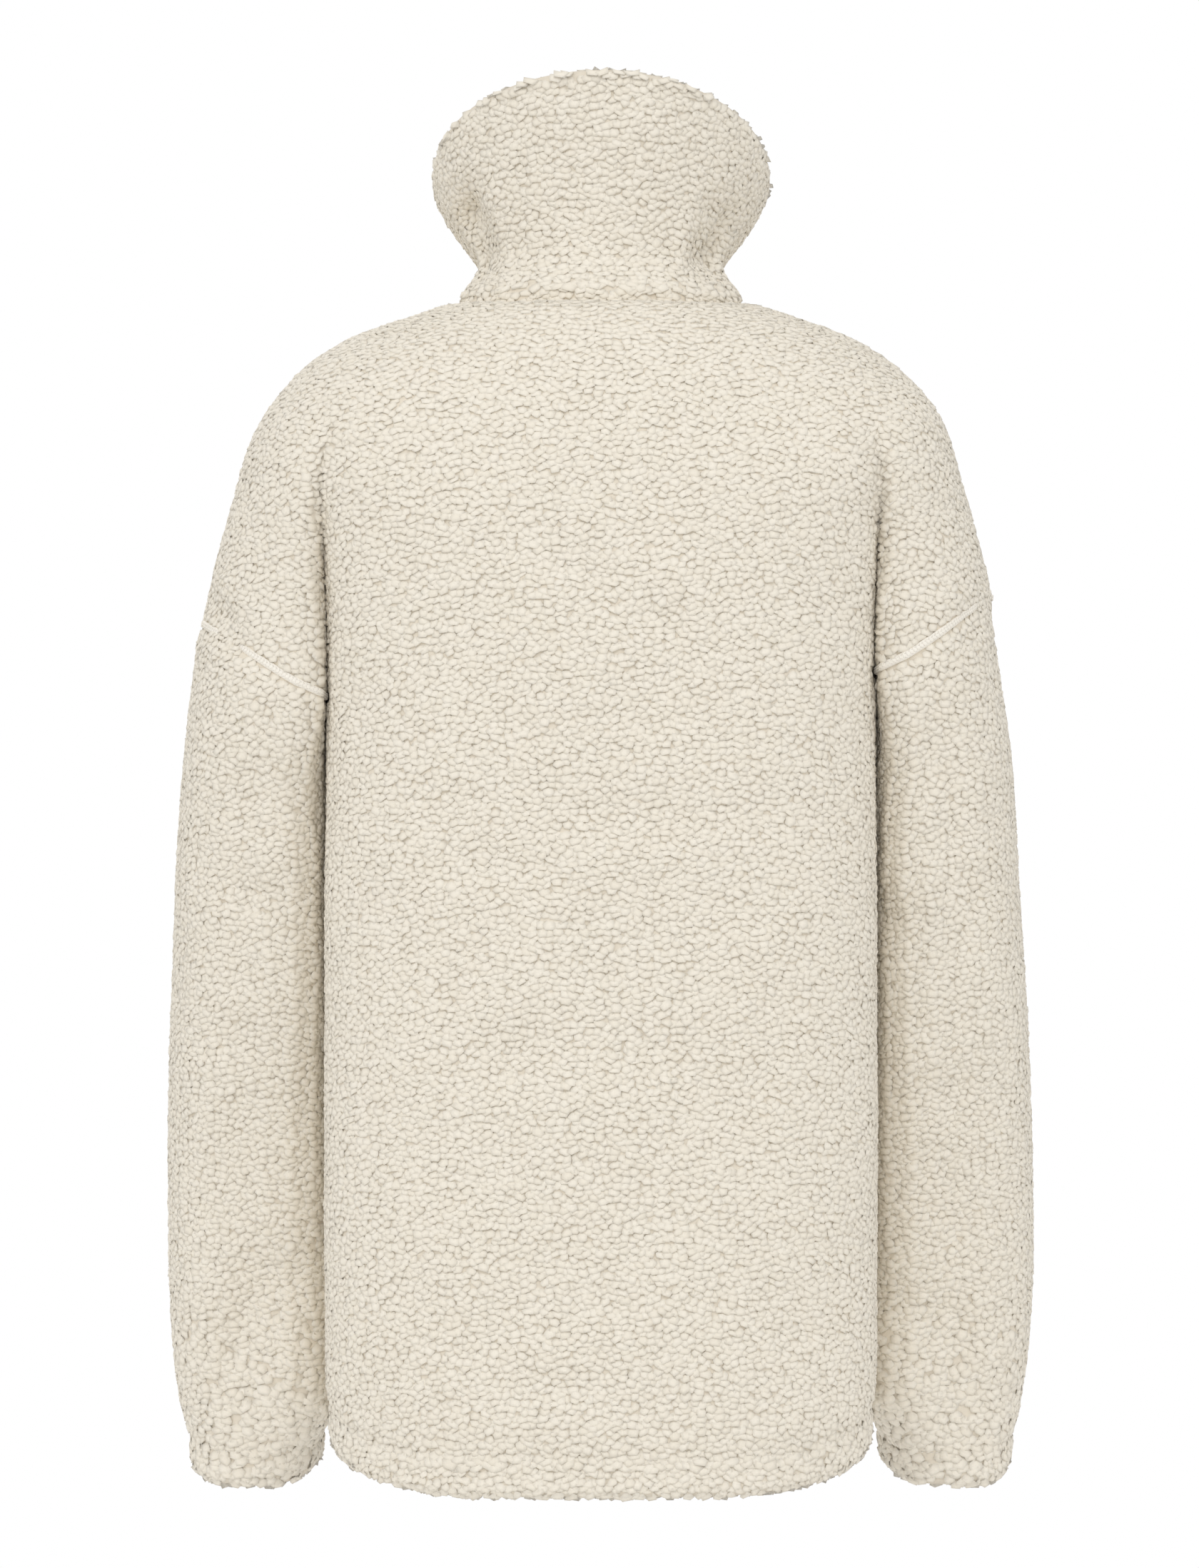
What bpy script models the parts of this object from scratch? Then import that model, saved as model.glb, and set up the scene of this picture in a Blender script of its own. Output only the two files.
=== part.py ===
"""A pile fleece jacket with a tall funnel collar, dropped shoulders and a zipped front.

The jacket keeps the form it has when worn, with nobody in it. Metres, +Z up, the wearer faces -Y and
the wearer's left arm is at +X. The origin is in the middle of the neck opening, level with the points
where the shoulder seams meet the collar.

The cloth is one smooth surface, worked out from the ring tables below and cut along the real seams.
Each panel is a closed wall whose outer face lies on that surface, at the tips of the pile.
"""

import math

import bmesh
import bpy
import numpy as np
from mathutils import Matrix, Vector

# Cloth thickness. The fleece is a 1.2 mm knitted ground with 3.8 mm of pile; the collar is doubled over.
FLEECE = 0.005
COLLAR_FLEECE = 0.008
SEAM_GAP = 0.0003

# How finely the rings are divided.
TORSO_COLUMNS = 9
ARM_COLUMNS = 7
SIDE_COLUMNS = 2
TORSO_ROWS = 16
YOKE_ROWS = 15
SLEEVE_ROWS = 17
COLLAR_ROWS = 8
DENSE = 90

# The curved hem rises at each side seam, over this half width measured from the seam.
HEM_RISE = 0.040
HEM_RISE_HALF_WIDTH = 0.125
HEM_RISE_REACH = 0.16
SIDE_SEAM_Y = -0.006

# The cuff edges rise a little at the sides, more toward the body.
CUFF_RISE_OUTER = 0.007
CUFF_RISE_INNER = 0.011

# The left armhole seam sits lower than the right one, as worn, and the right upper arm is drawn in.
ARMHOLE_TILT = 0.0075
ARMHOLE_LEVEL = -0.229
UNDERARM_GAP = 0.0005
RIGHT_ARM_IN = 0.0040

# The zip: a nylon coil on two woven tapes, closed up to the slider at the neck and open above it.
# Depths are measured in from the pile tips.
FRONT_EDGE_X = 0.0065
ZIP_PARTING_X = 0.0004
TAPE_DEPTHS = (0.0053, 0.0061)
TAPE_BEHIND_PANEL = 0.0070
TAPE_PARTING = 0.0061
TAPE_PAST_COLLAR = 0.0075
CHAIN_DEPTHS = (0.0026, 0.0050)
CHAIN_HALF_WIDTH = 0.0030
CHAIN_HALF = 0.0026
BOX_HEIGHT = 0.010
SLIDER_BELOW_NECK = 0.0145
SLIDER_HEIGHT = 0.011
SLIDER_HALF_WIDTH = 0.0043
SLIDER_DEPTHS = (0.0020, 0.0047)
LUG_HALF_WIDTH = 0.0012
LUG_RADIUS = 0.0022
LUG_HOLE = 0.0013
PULL_HALF_WIDTH = 0.0040
PULL_LENGTH = 0.026
PULL_THICKNESS = 0.0012


def table(columns, *rows):
    """A ring table: one column for each name and one row for each ring, from the lowest up."""
    return dict(zip(columns.split(), np.array(rows, float).T))


# Torso rings, from the hem to the neck. at is the ring's height at the centre back. fold_x and the two
# fold_y columns are where the ring turns in: at the side of the body below the armhole, and in the fold
# behind and in front of the arm above it. corner is the squareness of the section.
TORSO = table(
    "at      back_y front_y front_z fold_x fold_back_y fold_front_y corner",
    (-0.695, 0.129, -0.127, -0.695, 0.1605, 0.032, -0.044, 2.25),
    (-0.655, 0.131, -0.130, -0.655, 0.1625, 0.033, -0.045, 2.30),
    (-0.580, 0.131, -0.133, -0.580, 0.1630, 0.036, -0.048, 2.35),
    (-0.460, 0.130, -0.135, -0.460, 0.1630, 0.040, -0.052, 2.40),
    (-0.340, 0.129, -0.136, -0.340, 0.1625, 0.043, -0.055, 2.40),
    (-0.229, 0.128, -0.134, -0.229, 0.1620, 0.045, -0.058, 2.40),
    (-0.190, 0.127, -0.132, -0.202, 0.1620, 0.052, -0.064, 2.40),
    (-0.150, 0.125, -0.129, -0.175, 0.1620, 0.064, -0.073, 2.40),
    (-0.110, 0.121, -0.124, -0.148, 0.1600, 0.080, -0.086, 2.35),
    (-0.078, 0.115, -0.118, -0.125, 0.1500, 0.082, -0.088, 2.30),
    (-0.053, 0.108, -0.112, -0.105, 0.1340, 0.078, -0.085, 2.25),
    (-0.032, 0.098, -0.106, -0.089, 0.1110, 0.070, -0.080, 2.15),
    (-0.015, 0.085, -0.099, -0.075, 0.0860, 0.060, -0.074, 2.05),
    (-0.002, 0.070, -0.092, -0.062, 0.0650, 0.050, -0.068, 2.00),
)

# The outer end of the rings above the armhole, where the shoulder seam runs down the arm. hull is the
# squareness of a ring with no fold, and fold how far the fold has opened between body and arm.
SHOULDER = table(
    "at      side_x side_y  side_z  arm_back_y arm_front_y hull fold",
    (-0.229, 0.2385, -0.010, -0.1840, 0.072, -0.092, 3.0, 1.00),
    (-0.190, 0.2300, -0.009, -0.1500, 0.073, -0.091, 3.0, 1.00),
    (-0.150, 0.2205, -0.008, -0.1160, 0.075, -0.091, 2.9, 0.96),
    (-0.110, 0.2075, -0.007, -0.0780, 0.080, -0.092, 2.8, 0.55),
    (-0.078, 0.1910, -0.006, -0.0540, 0.082, -0.090, 2.6, 0.06),
    (-0.053, 0.1715, -0.006, -0.0350, 0.078, -0.085, 2.4, 0.00),
    (-0.032, 0.1445, -0.005, -0.0195, 0.070, -0.080, 2.2, 0.00),
    (-0.015, 0.1135, -0.005, -0.0085, 0.060, -0.074, 2.1, 0.00),
    (-0.002, 0.0880, -0.005, 0.0000, 0.050, -0.068, 2.0, 0.00),
)

# Sleeve rings. at is the height, inner_x and outer_x the two sides, centre_y and half_y the depth.
SLEEVE = table(
    "at      inner_x outer_x centre_y half_y square",
    (-0.709, 0.1690, 0.2500, -0.074, 0.049, 2.2),
    (-0.685, 0.1680, 0.2530, -0.073, 0.050, 2.2),
    (-0.646, 0.1670, 0.2590, -0.070, 0.053, 2.2),
    (-0.600, 0.1660, 0.2625, -0.066, 0.057, 2.2),
    (-0.520, 0.1655, 0.2630, -0.056, 0.064, 2.2),
    (-0.450, 0.1650, 0.2610, -0.044, 0.070, 2.2),
    (-0.370, 0.1650, 0.2565, -0.032, 0.075, 2.2),
    (-0.290, 0.1650, 0.2500, -0.021, 0.079, 2.2),
    (-0.229, 0.1650, 0.2440, -0.012, 0.081, 2.2),
)
SLEEVE_ROUNDING = 0.085
SLEEVE_TILT_REACH = 0.20
SLEEVE_FOLD_ANGLE = math.radians(152)

# Collar rings. at runs from 0 at the neck seam to 1 at the top edge. edge_x is how far its front edge is
# from the middle, and bow the power of the curve that takes its height from the side to the middle.
COLLAR = table(
    "at    side_x side_y  side_z back_y back_z front_y front_z edge_x bow",
    (0.00, 0.0880, -0.005, 0.000, 0.070, -0.002, -0.092, -0.062, 0.0065, 2.0),
    (0.14, 0.0745, -0.012, 0.020, 0.055, 0.018, -0.092, -0.040, 0.0110, 1.8),
    (0.32, 0.0820, -0.020, 0.038, 0.053, 0.042, -0.099, -0.016, 0.0200, 1.5),
    (0.55, 0.0935, -0.028, 0.055, 0.058, 0.073, -0.108, 0.008, 0.0320, 1.2),
    (0.78, 0.1010, -0.034, 0.069, 0.065, 0.103, -0.116, 0.026, 0.0440, 1.0),
    (1.00, 0.1030, -0.036, 0.078, 0.070, 0.129, -0.120, 0.038, 0.0520, 1.0),
)

# The dents where the collar breaks over at each side of the neck.
DENT_ANGLE = math.radians(66)
DENT_HALF_ANGLE = math.radians(11)
DENT_DEPTH = 0.0075
DENT_HEIGHT = 0.34
DENT_HALF_HEIGHT = 0.20


def along(rings, name, places):
    """A smooth curve through one column of a ring table, read at the places given."""
    x, y = rings["at"], rings[name]
    slope = np.gradient(y, x)
    i = np.clip(np.searchsorted(x, places) - 1, 0, len(x) - 2)
    step = x[i + 1] - x[i]
    u = (places - x[i]) / step
    rise = y[i + 1] - y[i]
    start, end = slope[i] * step, slope[i + 1] * step
    return y[i] + u * (start + u * (3 * rise - 2 * start - end + u * (start + end - 2 * rise)))


def smooth_step(value):
    value = np.clip(value, 0, 1)
    return value * value * (3 - 2 * value)


def super_quarter(share, width, depth, power):
    """A quarter of a rounded section, from its middle at share 0 to its side at share 1."""
    angle = share * math.pi / 2
    return width * np.sin(angle) ** (2 / power), depth * np.cos(angle) ** (2 / power)


def spaced(dense, count, start_x=0.0):
    """count + 1 points evenly spaced along each dense row, beginning where the row reaches start_x."""
    made = np.empty((len(dense), count + 1, 3))
    for row, points in enumerate(dense):
        run = np.concatenate([[0], np.cumsum(np.linalg.norm(np.diff(points[:, :2], axis=0), axis=1))])
        begin = np.interp(start_x, points[:, 0], run) if start_x else 0.0
        stops = np.linspace(begin, run[-1], count + 1)
        for axis in range(3):
            made[row, :, axis] = np.interp(stops, run, points[:, axis])
    return made


def torso_arc(levels, half, share):
    """The torso's part of each ring, from the middle of the body to the fold, at one half of it."""
    middle_y = along(TORSO, half + "_y", levels)
    fold_y = along(TORSO, "fold_" + half + "_y", levels)
    x, y = super_quarter(share, along(TORSO, "fold_x", levels), middle_y - fold_y, along(TORSO, "corner", levels))
    return x, fold_y + y


def middle_z(levels, half):
    return levels if half == "back" else along(TORSO, "front_z", levels)


def torso_quarter(levels, half):
    """Rings of the body below the armhole: the torso columns, then the flat side columns."""
    levels = levels[:, None]
    share = np.linspace(0, 1, DENSE)[None, :]
    x, y = torso_arc(levels, half, share)
    z = middle_z(levels, half) + 0 * x
    start_x = 0.0 if half == "back" else FRONT_EDGE_X
    arc = spaced(np.stack([x, y, z], -1), TORSO_COLUMNS, start_x)
    side_share = np.linspace(0, 1, SIDE_COLUMNS + 1)[None, 1:, None]
    end = arc[:, -1:, :].copy()
    end[:, :, 1] = SIDE_SEAM_Y
    side = arc[:, -1:, :] * (1 - side_share) + end * side_share
    ring = np.concatenate([arc, side], 1)
    near_hem = smooth_step(1 - (levels - TORSO["at"][0]) / HEM_RISE_REACH)
    from_seam = np.hypot(ring[:, :, 1] - SIDE_SEAM_Y, 0.012)
    near_seam = np.clip(1 - from_seam / HEM_RISE_HALF_WIDTH, 0, 1) ** 1.2
    ring[:, :, 2] += HEM_RISE * near_hem * near_seam
    return ring


def yoke_quarter(levels, half):
    """Rings of the body above the armhole: the torso columns, then the columns round the upper arm."""
    levels = levels[:, None]
    share = np.linspace(0, 1, DENSE)[None, :]
    side_x = along(SHOULDER, "side_x", levels)
    side_y = along(SHOULDER, "side_y", levels)
    side_z = along(SHOULDER, "side_z", levels)
    arm_y = along(SHOULDER, "arm_" + half + "_y", levels)
    hull = along(SHOULDER, "hull", levels)
    opened = np.clip(along(SHOULDER, "fold", levels), 0, 1)
    fold_x = along(TORSO, "fold_x", levels)
    fold_y = along(TORSO, "fold_" + half + "_y", levels)
    depth = along(TORSO, half + "_y", levels) - side_y

    turn = np.arcsin(np.clip(fold_x / side_x, 0, 1) ** (hull / 2)) / (math.pi / 2)
    hull_x, hull_y = super_quarter(share * turn, side_x, depth, hull)
    torso_x, torso_y = torso_arc(levels, half, share)
    torso = [hull_x + (torso_x - hull_x) * opened, side_y + hull_y + (torso_y - side_y - hull_y) * opened]

    hull_x, hull_y = super_quarter(turn + share * (1 - turn), side_x, depth, hull)
    arm_x = (fold_x + side_x) / 2 - (side_x - fold_x) / 2 * np.cos(math.pi * share)
    bulge = arm_y - (fold_y + side_y) / 2
    round_y = fold_y + (side_y - fold_y) * share + bulge * np.sin(math.pi * share) ** 0.8
    arm = [hull_x + (arm_x - hull_x) * opened, side_y + hull_y + (round_y - side_y - hull_y) * opened]

    parts = []
    for (x, y), count, edge in ((torso, TORSO_COLUMNS, half == "front"), (arm, ARM_COLUMNS, False)):
        past_fold = np.clip((x - fold_x) / (side_x - fold_x), 0, 1)
        share_out = opened * past_fold + (1 - opened) * np.clip(x / side_x, 0, 1) ** 2
        z = middle_z(levels, half) + (side_z - middle_z(levels, half)) * share_out
        parts.append(spaced(np.stack([x, y, z], -1), count, FRONT_EDGE_X if edge else 0.0))
    return np.concatenate([parts[0], parts[1][:, 1:]], 1)


def drawn_in(x, z):
    """The right arm's distance from the middle, a little less than the left arm's."""
    hang = smooth_step((-0.045 - z) / 0.06) * smooth_step((z + 0.60) / 0.30)
    return x - RIGHT_ARM_IN * hang * smooth_step((x - 0.165) / 0.07)


def whole_ring(quarter, levels):
    """An open ring: left front edge, left side, centre back, right side, right front edge."""
    front, back = quarter(levels, "front"), quarter(levels, "back")
    left = np.concatenate([front, back[:, -2::-1]], 1)
    right = left[:, -2::-1].copy()
    right[:, :, 0] = -drawn_in(right[:, :, 0], right[:, :, 2])
    ring = np.concatenate([left, right], 1)
    near = 1 - smooth_step(np.abs(levels - ARMHOLE_LEVEL) / 0.17)
    ring[:, :, 2] -= ARMHOLE_TILT * near[:, None] * np.clip(ring[:, :, 0] / 0.163, -1, 1)
    return ring


def sleeve_rings(seam_arm, side):
    """Closed sleeve rings below an armhole seam: the columns round the arm, then those beside the body.

    seam_arm is the seam from the front fold, over the outside of the arm, to the back fold."""
    down = np.linspace(0, 1, SLEEVE_ROWS + 1)[:, None]
    top, bottom = seam_arm[0, 2], SLEEVE["at"][0]
    height = top + (bottom - top) * down
    inner = np.linspace(0, 1, 2 * SIDE_COLUMNS + 1)[1:-1, None]
    bridge = seam_arm[-1] + (seam_arm[0] - seam_arm[-1]) * inner
    bridge[:, 0] = side * (np.abs(bridge[:, 0]) + UNDERARM_GAP)
    first = np.concatenate([seam_arm, bridge])

    count = len(seam_arm) - 1
    arm_angle = np.linspace(-SLEEVE_FOLD_ANGLE, SLEEVE_FOLD_ANGLE, count + 1)
    inner_angle = np.linspace(SLEEVE_FOLD_ANGLE, 2 * math.pi - SLEEVE_FOLD_ANGLE, 2 * SIDE_COLUMNS + 1)[1:-1]
    angle = np.concatenate([arm_angle, inner_angle])[None, :]
    inner_x, outer_x = along(SLEEVE, "inner_x", height), along(SLEEVE, "outer_x", height)
    power = 2 / along(SLEEVE, "square", height)
    cos, sin = np.cos(angle), np.sin(angle)
    x = (inner_x + outer_x) / 2 + (outer_x - inner_x) / 2 * np.sign(cos) * np.abs(cos) ** power
    y = along(SLEEVE, "centre_y", height) + along(SLEEVE, "half_y", height) * np.sign(sin) * np.abs(sin) ** power

    round_share = smooth_step((top - height) / SLEEVE_ROUNDING)
    top_x = np.abs(first[None, :, 0]) + along(SLEEVE, "outer_x", height) - along(SLEEVE, "outer_x", height[:1])
    top_x = np.where(np.arange(first.shape[0]) > count, np.abs(first[None, :, 0]), top_x)
    x = top_x * (1 - round_share) + x * round_share
    y = first[None, :, 1] * (1 - round_share) + y * round_share
    tilt = (first[None, :, 2] - top) * np.clip(1 - (top - height) / SLEEVE_TILT_REACH, 0, 1) ** 1.3
    near_cuff = smooth_step(1 - (height - bottom) / 0.05)
    lift = near_cuff * np.where(cos > 0, CUFF_RISE_OUTER, CUFF_RISE_INNER) * cos**4
    z = height + tilt + lift
    if side < 0:
        x = drawn_in(x, z)
    rings = np.stack([side * x, y, z], -1)
    rings[0] = first
    return rings


def collar_rings(neck):
    """Open collar rings above the neck seam, with the same columns as the neck ring."""
    up = np.linspace(0, 1, COLLAR_ROWS + 1)[:, None]
    ring = {name: along(COLLAR, name, up) for name in COLLAR}
    base = {name: value[0] for name, value in ring.items()}
    side_turn = neck[None, :, 0] / base["side_x"]
    is_back = neck[None, :, 1] >= base["side_y"]
    base_depth = np.where(is_back, base["back_y"] - base["side_y"], base["side_y"] - base["front_y"])
    turn = np.arctan2(np.abs(side_turn), (neck[None, :, 1] - base["side_y"]) / base_depth)
    last = math.pi - np.arcsin(np.clip(base["edge_x"] / base["side_x"], 0, 1))
    open_last = math.pi - np.arcsin(np.clip(ring["edge_x"] / ring["side_x"], 0, 1))
    stretch = (open_last - math.pi / 2) / (last - math.pi / 2)
    turn = np.where(is_back, turn, math.pi / 2 + (turn - math.pi / 2) * stretch)

    across = np.exp(-(((turn - DENT_ANGLE) / DENT_HALF_ANGLE) ** 2))
    upward = np.exp(-(((up - DENT_HEIGHT) / DENT_HALF_HEIGHT) ** 2)) * smooth_step(up / 0.12)
    shrink = 1 - DENT_DEPTH * across * upward / ring["side_x"]
    cos, sin = np.cos(turn), np.sin(turn)
    depth = np.where(is_back, ring["back_y"] - ring["side_y"], ring["side_y"] - ring["front_y"])
    end_z = np.where(is_back, ring["back_z"], ring["front_z"])
    x = np.sign(neck[None, :, 0]) * ring["side_x"] * sin * shrink
    y = ring["side_y"] + depth * cos * shrink
    z = ring["side_z"] + (end_z - ring["side_z"]) * np.abs(cos) ** ring["bow"]
    rings = np.stack([x, y, z], -1)
    rings[0] = neck
    return rings


class Surface:
    """The jacket's outer surface: shared points, and the four-sided faces of each piece."""

    def __init__(self):
        self.points = []
        self.pieces = {}

    def add_points(self, grid):
        """Numbers for a grid of new points."""
        first = sum(len(block) for block in self.points)
        self.points.append(grid.reshape(-1, 3))
        return first + np.arange(grid.shape[0] * grid.shape[1]).reshape(grid.shape[:2])

    def add_faces(self, piece, numbers, outward=True):
        a, b = numbers[:-1, :-1].ravel(), numbers[:-1, 1:].ravel()
        c, d = numbers[1:, 1:].ravel(), numbers[1:, :-1].ravel()
        faces = np.stack([a, b, c, d] if outward else [d, c, b, a], 1)
        self.pieces.setdefault(piece, []).append(faces)

    def finish(self):
        """Joins what was added and works out the outward direction at each point."""
        self.points = np.concatenate(self.points)
        self.pieces = {name: np.concatenate(blocks) for name, blocks in self.pieces.items()}
        self.out = outward_directions(self.points, np.concatenate(list(self.pieces.values())))


def outward_directions(points, faces):
    corners = points[faces]
    leaning = np.cross(corners[:, 2] - corners[:, 0], corners[:, 3] - corners[:, 1])
    total = np.zeros_like(points)
    for corner in range(4):
        np.add.at(total, faces[:, corner], leaning)
    return total / np.maximum(np.linalg.norm(total, axis=1, keepdims=True), 1e-12)


def jacket_surface():
    """The whole outer surface, and the rings that the zip needs."""
    surface = Surface()
    yoke_levels = yoke_heights()
    torso_levels = np.linspace(TORSO["at"][0], ARMHOLE_LEVEL, TORSO_ROWS + 1)
    yoke = whole_ring(yoke_quarter, yoke_levels)
    torso = whole_ring(torso_quarter, torso_levels)
    yoke_ids = surface.add_points(yoke)
    torso_ids = surface.add_points(torso)

    quarter = TORSO_COLUMNS + ARM_COLUMNS
    low_quarter = TORSO_COLUMNS + SIDE_COLUMNS
    for low, high, count in (
        (0, 0, TORSO_COLUMNS),
        (low_quarter + SIDE_COLUMNS, quarter + ARM_COLUMNS, 2 * TORSO_COLUMNS),
        (3 * low_quarter + SIDE_COLUMNS, 3 * quarter + ARM_COLUMNS, TORSO_COLUMNS),
    ):
        torso_ids[-1, low : low + count + 1] = yoke_ids[0, high : high + count + 1]

    for ids, per_quarter in ((torso_ids, low_quarter), (yoke_ids, quarter)):
        surface.add_faces("front_left", ids[:, : per_quarter + 1])
        surface.add_faces("back", ids[:, per_quarter : 3 * per_quarter + 1])
        surface.add_faces("front_right", ids[:, 3 * per_quarter :])

    for side, piece, first in (
        (1, "sleeve_left", TORSO_COLUMNS),
        (-1, "sleeve_right", 2 * quarter + TORSO_COLUMNS),
    ):
        seam_ids = yoke_ids[0, first : first + 2 * ARM_COLUMNS + 1]
        seam = yoke[0, first : first + 2 * ARM_COLUMNS + 1]
        if side < 0:
            seam_ids, seam = seam_ids[::-1], seam[::-1]
        rings = sleeve_rings(seam, side)
        ids = surface.add_points(rings)
        ids[0, : len(seam_ids)] = seam_ids
        ids = np.concatenate([ids, ids[:, :1]], 1)
        surface.add_faces(piece, ids, outward=side < 0)

    collar = collar_rings(yoke[-1])
    collar_ids = surface.add_points(collar)
    collar_ids[0] = yoke_ids[-1]
    surface.add_faces("collar", collar_ids)
    surface.finish()

    # The cloth at the bottom of each fold faces straight back or forward.
    opened = smooth_step(along(SHOULDER, "fold", yoke_levels) / 0.5)[:, None]
    for column, facing in (
        (TORSO_COLUMNS, -1),
        (2 * quarter - TORSO_COLUMNS, 1),
        (2 * quarter + TORSO_COLUMNS, 1),
        (4 * quarter - TORSO_COLUMNS, -1),
    ):
        ids = yoke_ids[:, column]
        surface.out[ids] = unit(surface.out[ids] * (1 - opened) + np.array([0, facing, 0]) * opened)
    return surface, {"torso": torso_ids, "yoke": yoke_ids, "collar": collar_ids}


def yoke_heights():
    """Levels from the armhole to the neck, closer together where the shoulder turns."""
    share = np.linspace(0, 1, YOKE_ROWS + 1)
    knots = SHOULDER["at"]
    return np.interp(share, np.linspace(0, 1, len(knots)), knots)


def material(name, colour, roughness, metallic=0.0):
    made = bpy.data.materials.new(name)
    made.use_nodes = True
    shader = made.node_tree.nodes["Principled BSDF"]
    shader.inputs["Base Color"].default_value = (*colour, 1.0)
    shader.inputs["Roughness"].default_value = roughness
    shader.inputs["Metallic"].default_value = metallic
    return made


def new_object(name, points, faces, finish):
    mesh = bpy.data.meshes.new(name)
    mesh.from_pydata([tuple(p) for p in points], [], [tuple(f) for f in faces])
    mesh.materials.append(finish)
    mesh.shade_smooth()
    mesh.set_sharp_from_angle(angle=math.radians(50))
    made = bpy.data.objects.new(name, mesh)
    bpy.context.scene.collection.objects.link(made)
    return made


def rim_edges(faces):
    """The outline of a piece: the edges with a face on one side only, in the direction of that face."""
    edges = np.concatenate([faces[:, [i, (i + 1) % 4]] for i in range(4)])
    ordered = np.sort(edges, axis=1)
    _, place, count = np.unique(ordered, axis=0, return_inverse=True, return_counts=True)
    return edges[count[place.ravel()] == 1]


def wall(name, surface, faces, thickness, finish):
    """A closed wall from the surface to its thickness below, drawn back at its rim by half the seam gap."""
    points, out = surface.points, surface.out
    used, local = np.unique(faces, return_inverse=True)
    local = local.reshape(faces.shape)
    at, normal = points[used], out[used]
    # In the underarm fold a sleeve faces another way than the body does.
    if name.startswith("sleeve"):
        own = outward_directions(at, local)
        in_fold = np.sum(own * normal, axis=1, keepdims=True) < 0.75
        normal = np.where(in_fold, own, normal)
    edges = rim_edges(local)
    middle = at[local].mean(axis=1)
    toward = np.zeros_like(at)
    for corner in range(4):
        np.add.at(toward, local[:, corner], middle - at[local[:, corner]])
    rim = np.unique(edges)
    along_cloth = toward[rim] - normal[rim] * np.sum(toward[rim] * normal[rim], axis=1, keepdims=True)
    along_cloth /= np.linalg.norm(along_cloth, axis=1, keepdims=True)
    at = at.copy()
    at[rim] += along_cloth * SEAM_GAP * 0.6
    count = len(at)
    both = np.concatenate([at, at - normal * thickness])
    # Each four-sided face is cut along its first diagonal, so both sides of a seam start from the same corner.
    crossed = middle[:, 0] * middle[:, 1] < 0
    local = np.where(crossed[:, None], np.roll(local, 1, axis=1), local)
    a, b = edges.T
    from_b = used[a] > used[b]
    sides = np.where(from_b, [b, a, a + count, b + count], [a, a + count, b + count, b]).T
    faces = [local, local[:, [0, 3, 2, 1]] + count, sides]
    return new_object(name, both, np.concatenate(faces), finish)


class FrontEdge:
    """One front edge from the hem to the collar's top: points, and the directions up, out and across."""

    def __init__(self, surface, rings, side):
        column = 0 if side > 0 else -1
        numbers = [rings["torso"][:-1, column], rings["yoke"][:, column], rings["collar"][1:, column]]
        points = surface.points[np.concatenate(numbers)]
        out = surface.out[np.concatenate(numbers)]
        up = unit(np.gradient(points, axis=0))
        out = unit(out - up * np.sum(out * up, axis=1, keepdims=True))
        self.points, self.out, self.side = points, out, side
        self.across = np.cross(out, up) * side
        self.run = np.concatenate([[0], np.cumsum(np.linalg.norm(np.diff(points, axis=0), axis=1))])
        self.neck = self.run[len(numbers[0]) + len(numbers[1]) - 1]

    def collar_runs(self, below_top):
        """Places along the collar's part of the edge, four to each of its rings."""
        rings = self.run[self.run > self.neck - 0.0001]
        rings[-1] -= below_top
        return np.interp(np.arange(1, 4 * len(rings) - 3) / 4, np.arange(len(rings)), rings)

    def at(self, run, across, depth):
        """Points at distances run along the edge, across toward the opening and depth inward."""
        run = np.asarray(run, float)

        def read(values):
            return np.stack([np.interp(run, self.run, values[:, axis]) for axis in range(3)], -1)

        across, depth = np.broadcast_to(across, run.shape), np.broadcast_to(depth, run.shape)
        return read(self.points) + unit(read(self.across)) * across[:, None] - unit(read(self.out)) * depth[:, None]


def unit(vectors):
    return vectors / np.linalg.norm(vectors, axis=-1, keepdims=True)


def edge_strip(name, edge, runs, near, far, depths, finish):
    """A closed strip along a front edge, from near to far across the opening and between two depths."""
    corners = [(near, depths[0]), (far, depths[0]), (far, depths[1]), (near, depths[1])]
    sections = np.stack([edge.at(runs, across, depth) for across, depth in corners], 1)
    sections[:, :, 0] = edge.side * np.maximum(edge.side * sections[:, :, 0], ZIP_PARTING_X)
    return strip(name, sections, finish)


def strip(name, sections, finish):
    """A closed strip through four-cornered sections."""
    count, corners = sections.shape[:2]
    ids = np.arange(count * corners).reshape(count, corners)
    after = np.roll(ids, -1, axis=1)
    around = np.stack([ids[:-1], after[:-1], after[1:], ids[1:]], -1).reshape(-1, 4)
    faces = np.concatenate([around, [ids[0, ::-1]], [ids[-1]]])
    made = new_object(name, sections.reshape(-1, 3), faces, finish)
    faces_out(made.data)
    return made


def faces_out(mesh):
    shape = bmesh.new()
    shape.from_mesh(mesh)
    bmesh.ops.recalc_face_normals(shape, faces=shape.faces)
    shape.to_mesh(mesh)
    shape.free()


def zip_tape(name, edge, finish):
    """The tape is hidden behind the panel's edge, and runs on beside the collar's edge."""
    neck = edge.neck
    low = edge.run[edge.run < neck - 0.006]
    low[0] += 0.002
    runs = np.concatenate([low, [neck - 0.0025, neck - 0.0010, neck], edge.collar_runs(0.003)])
    below = runs < neck - 0.002
    near = np.where(below, -TAPE_BEHIND_PANEL, 0.0005)
    return edge_strip(name, edge, runs, near, free_edge(edge, runs), TAPE_DEPTHS, finish)


def free_edge(edge, runs):
    """How far the tape's free edge is from the front edge: wider above the neck."""
    return np.interp(runs, [edge.neck, edge.neck + 0.02], [TAPE_PARTING, TAPE_PAST_COLLAR])


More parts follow.
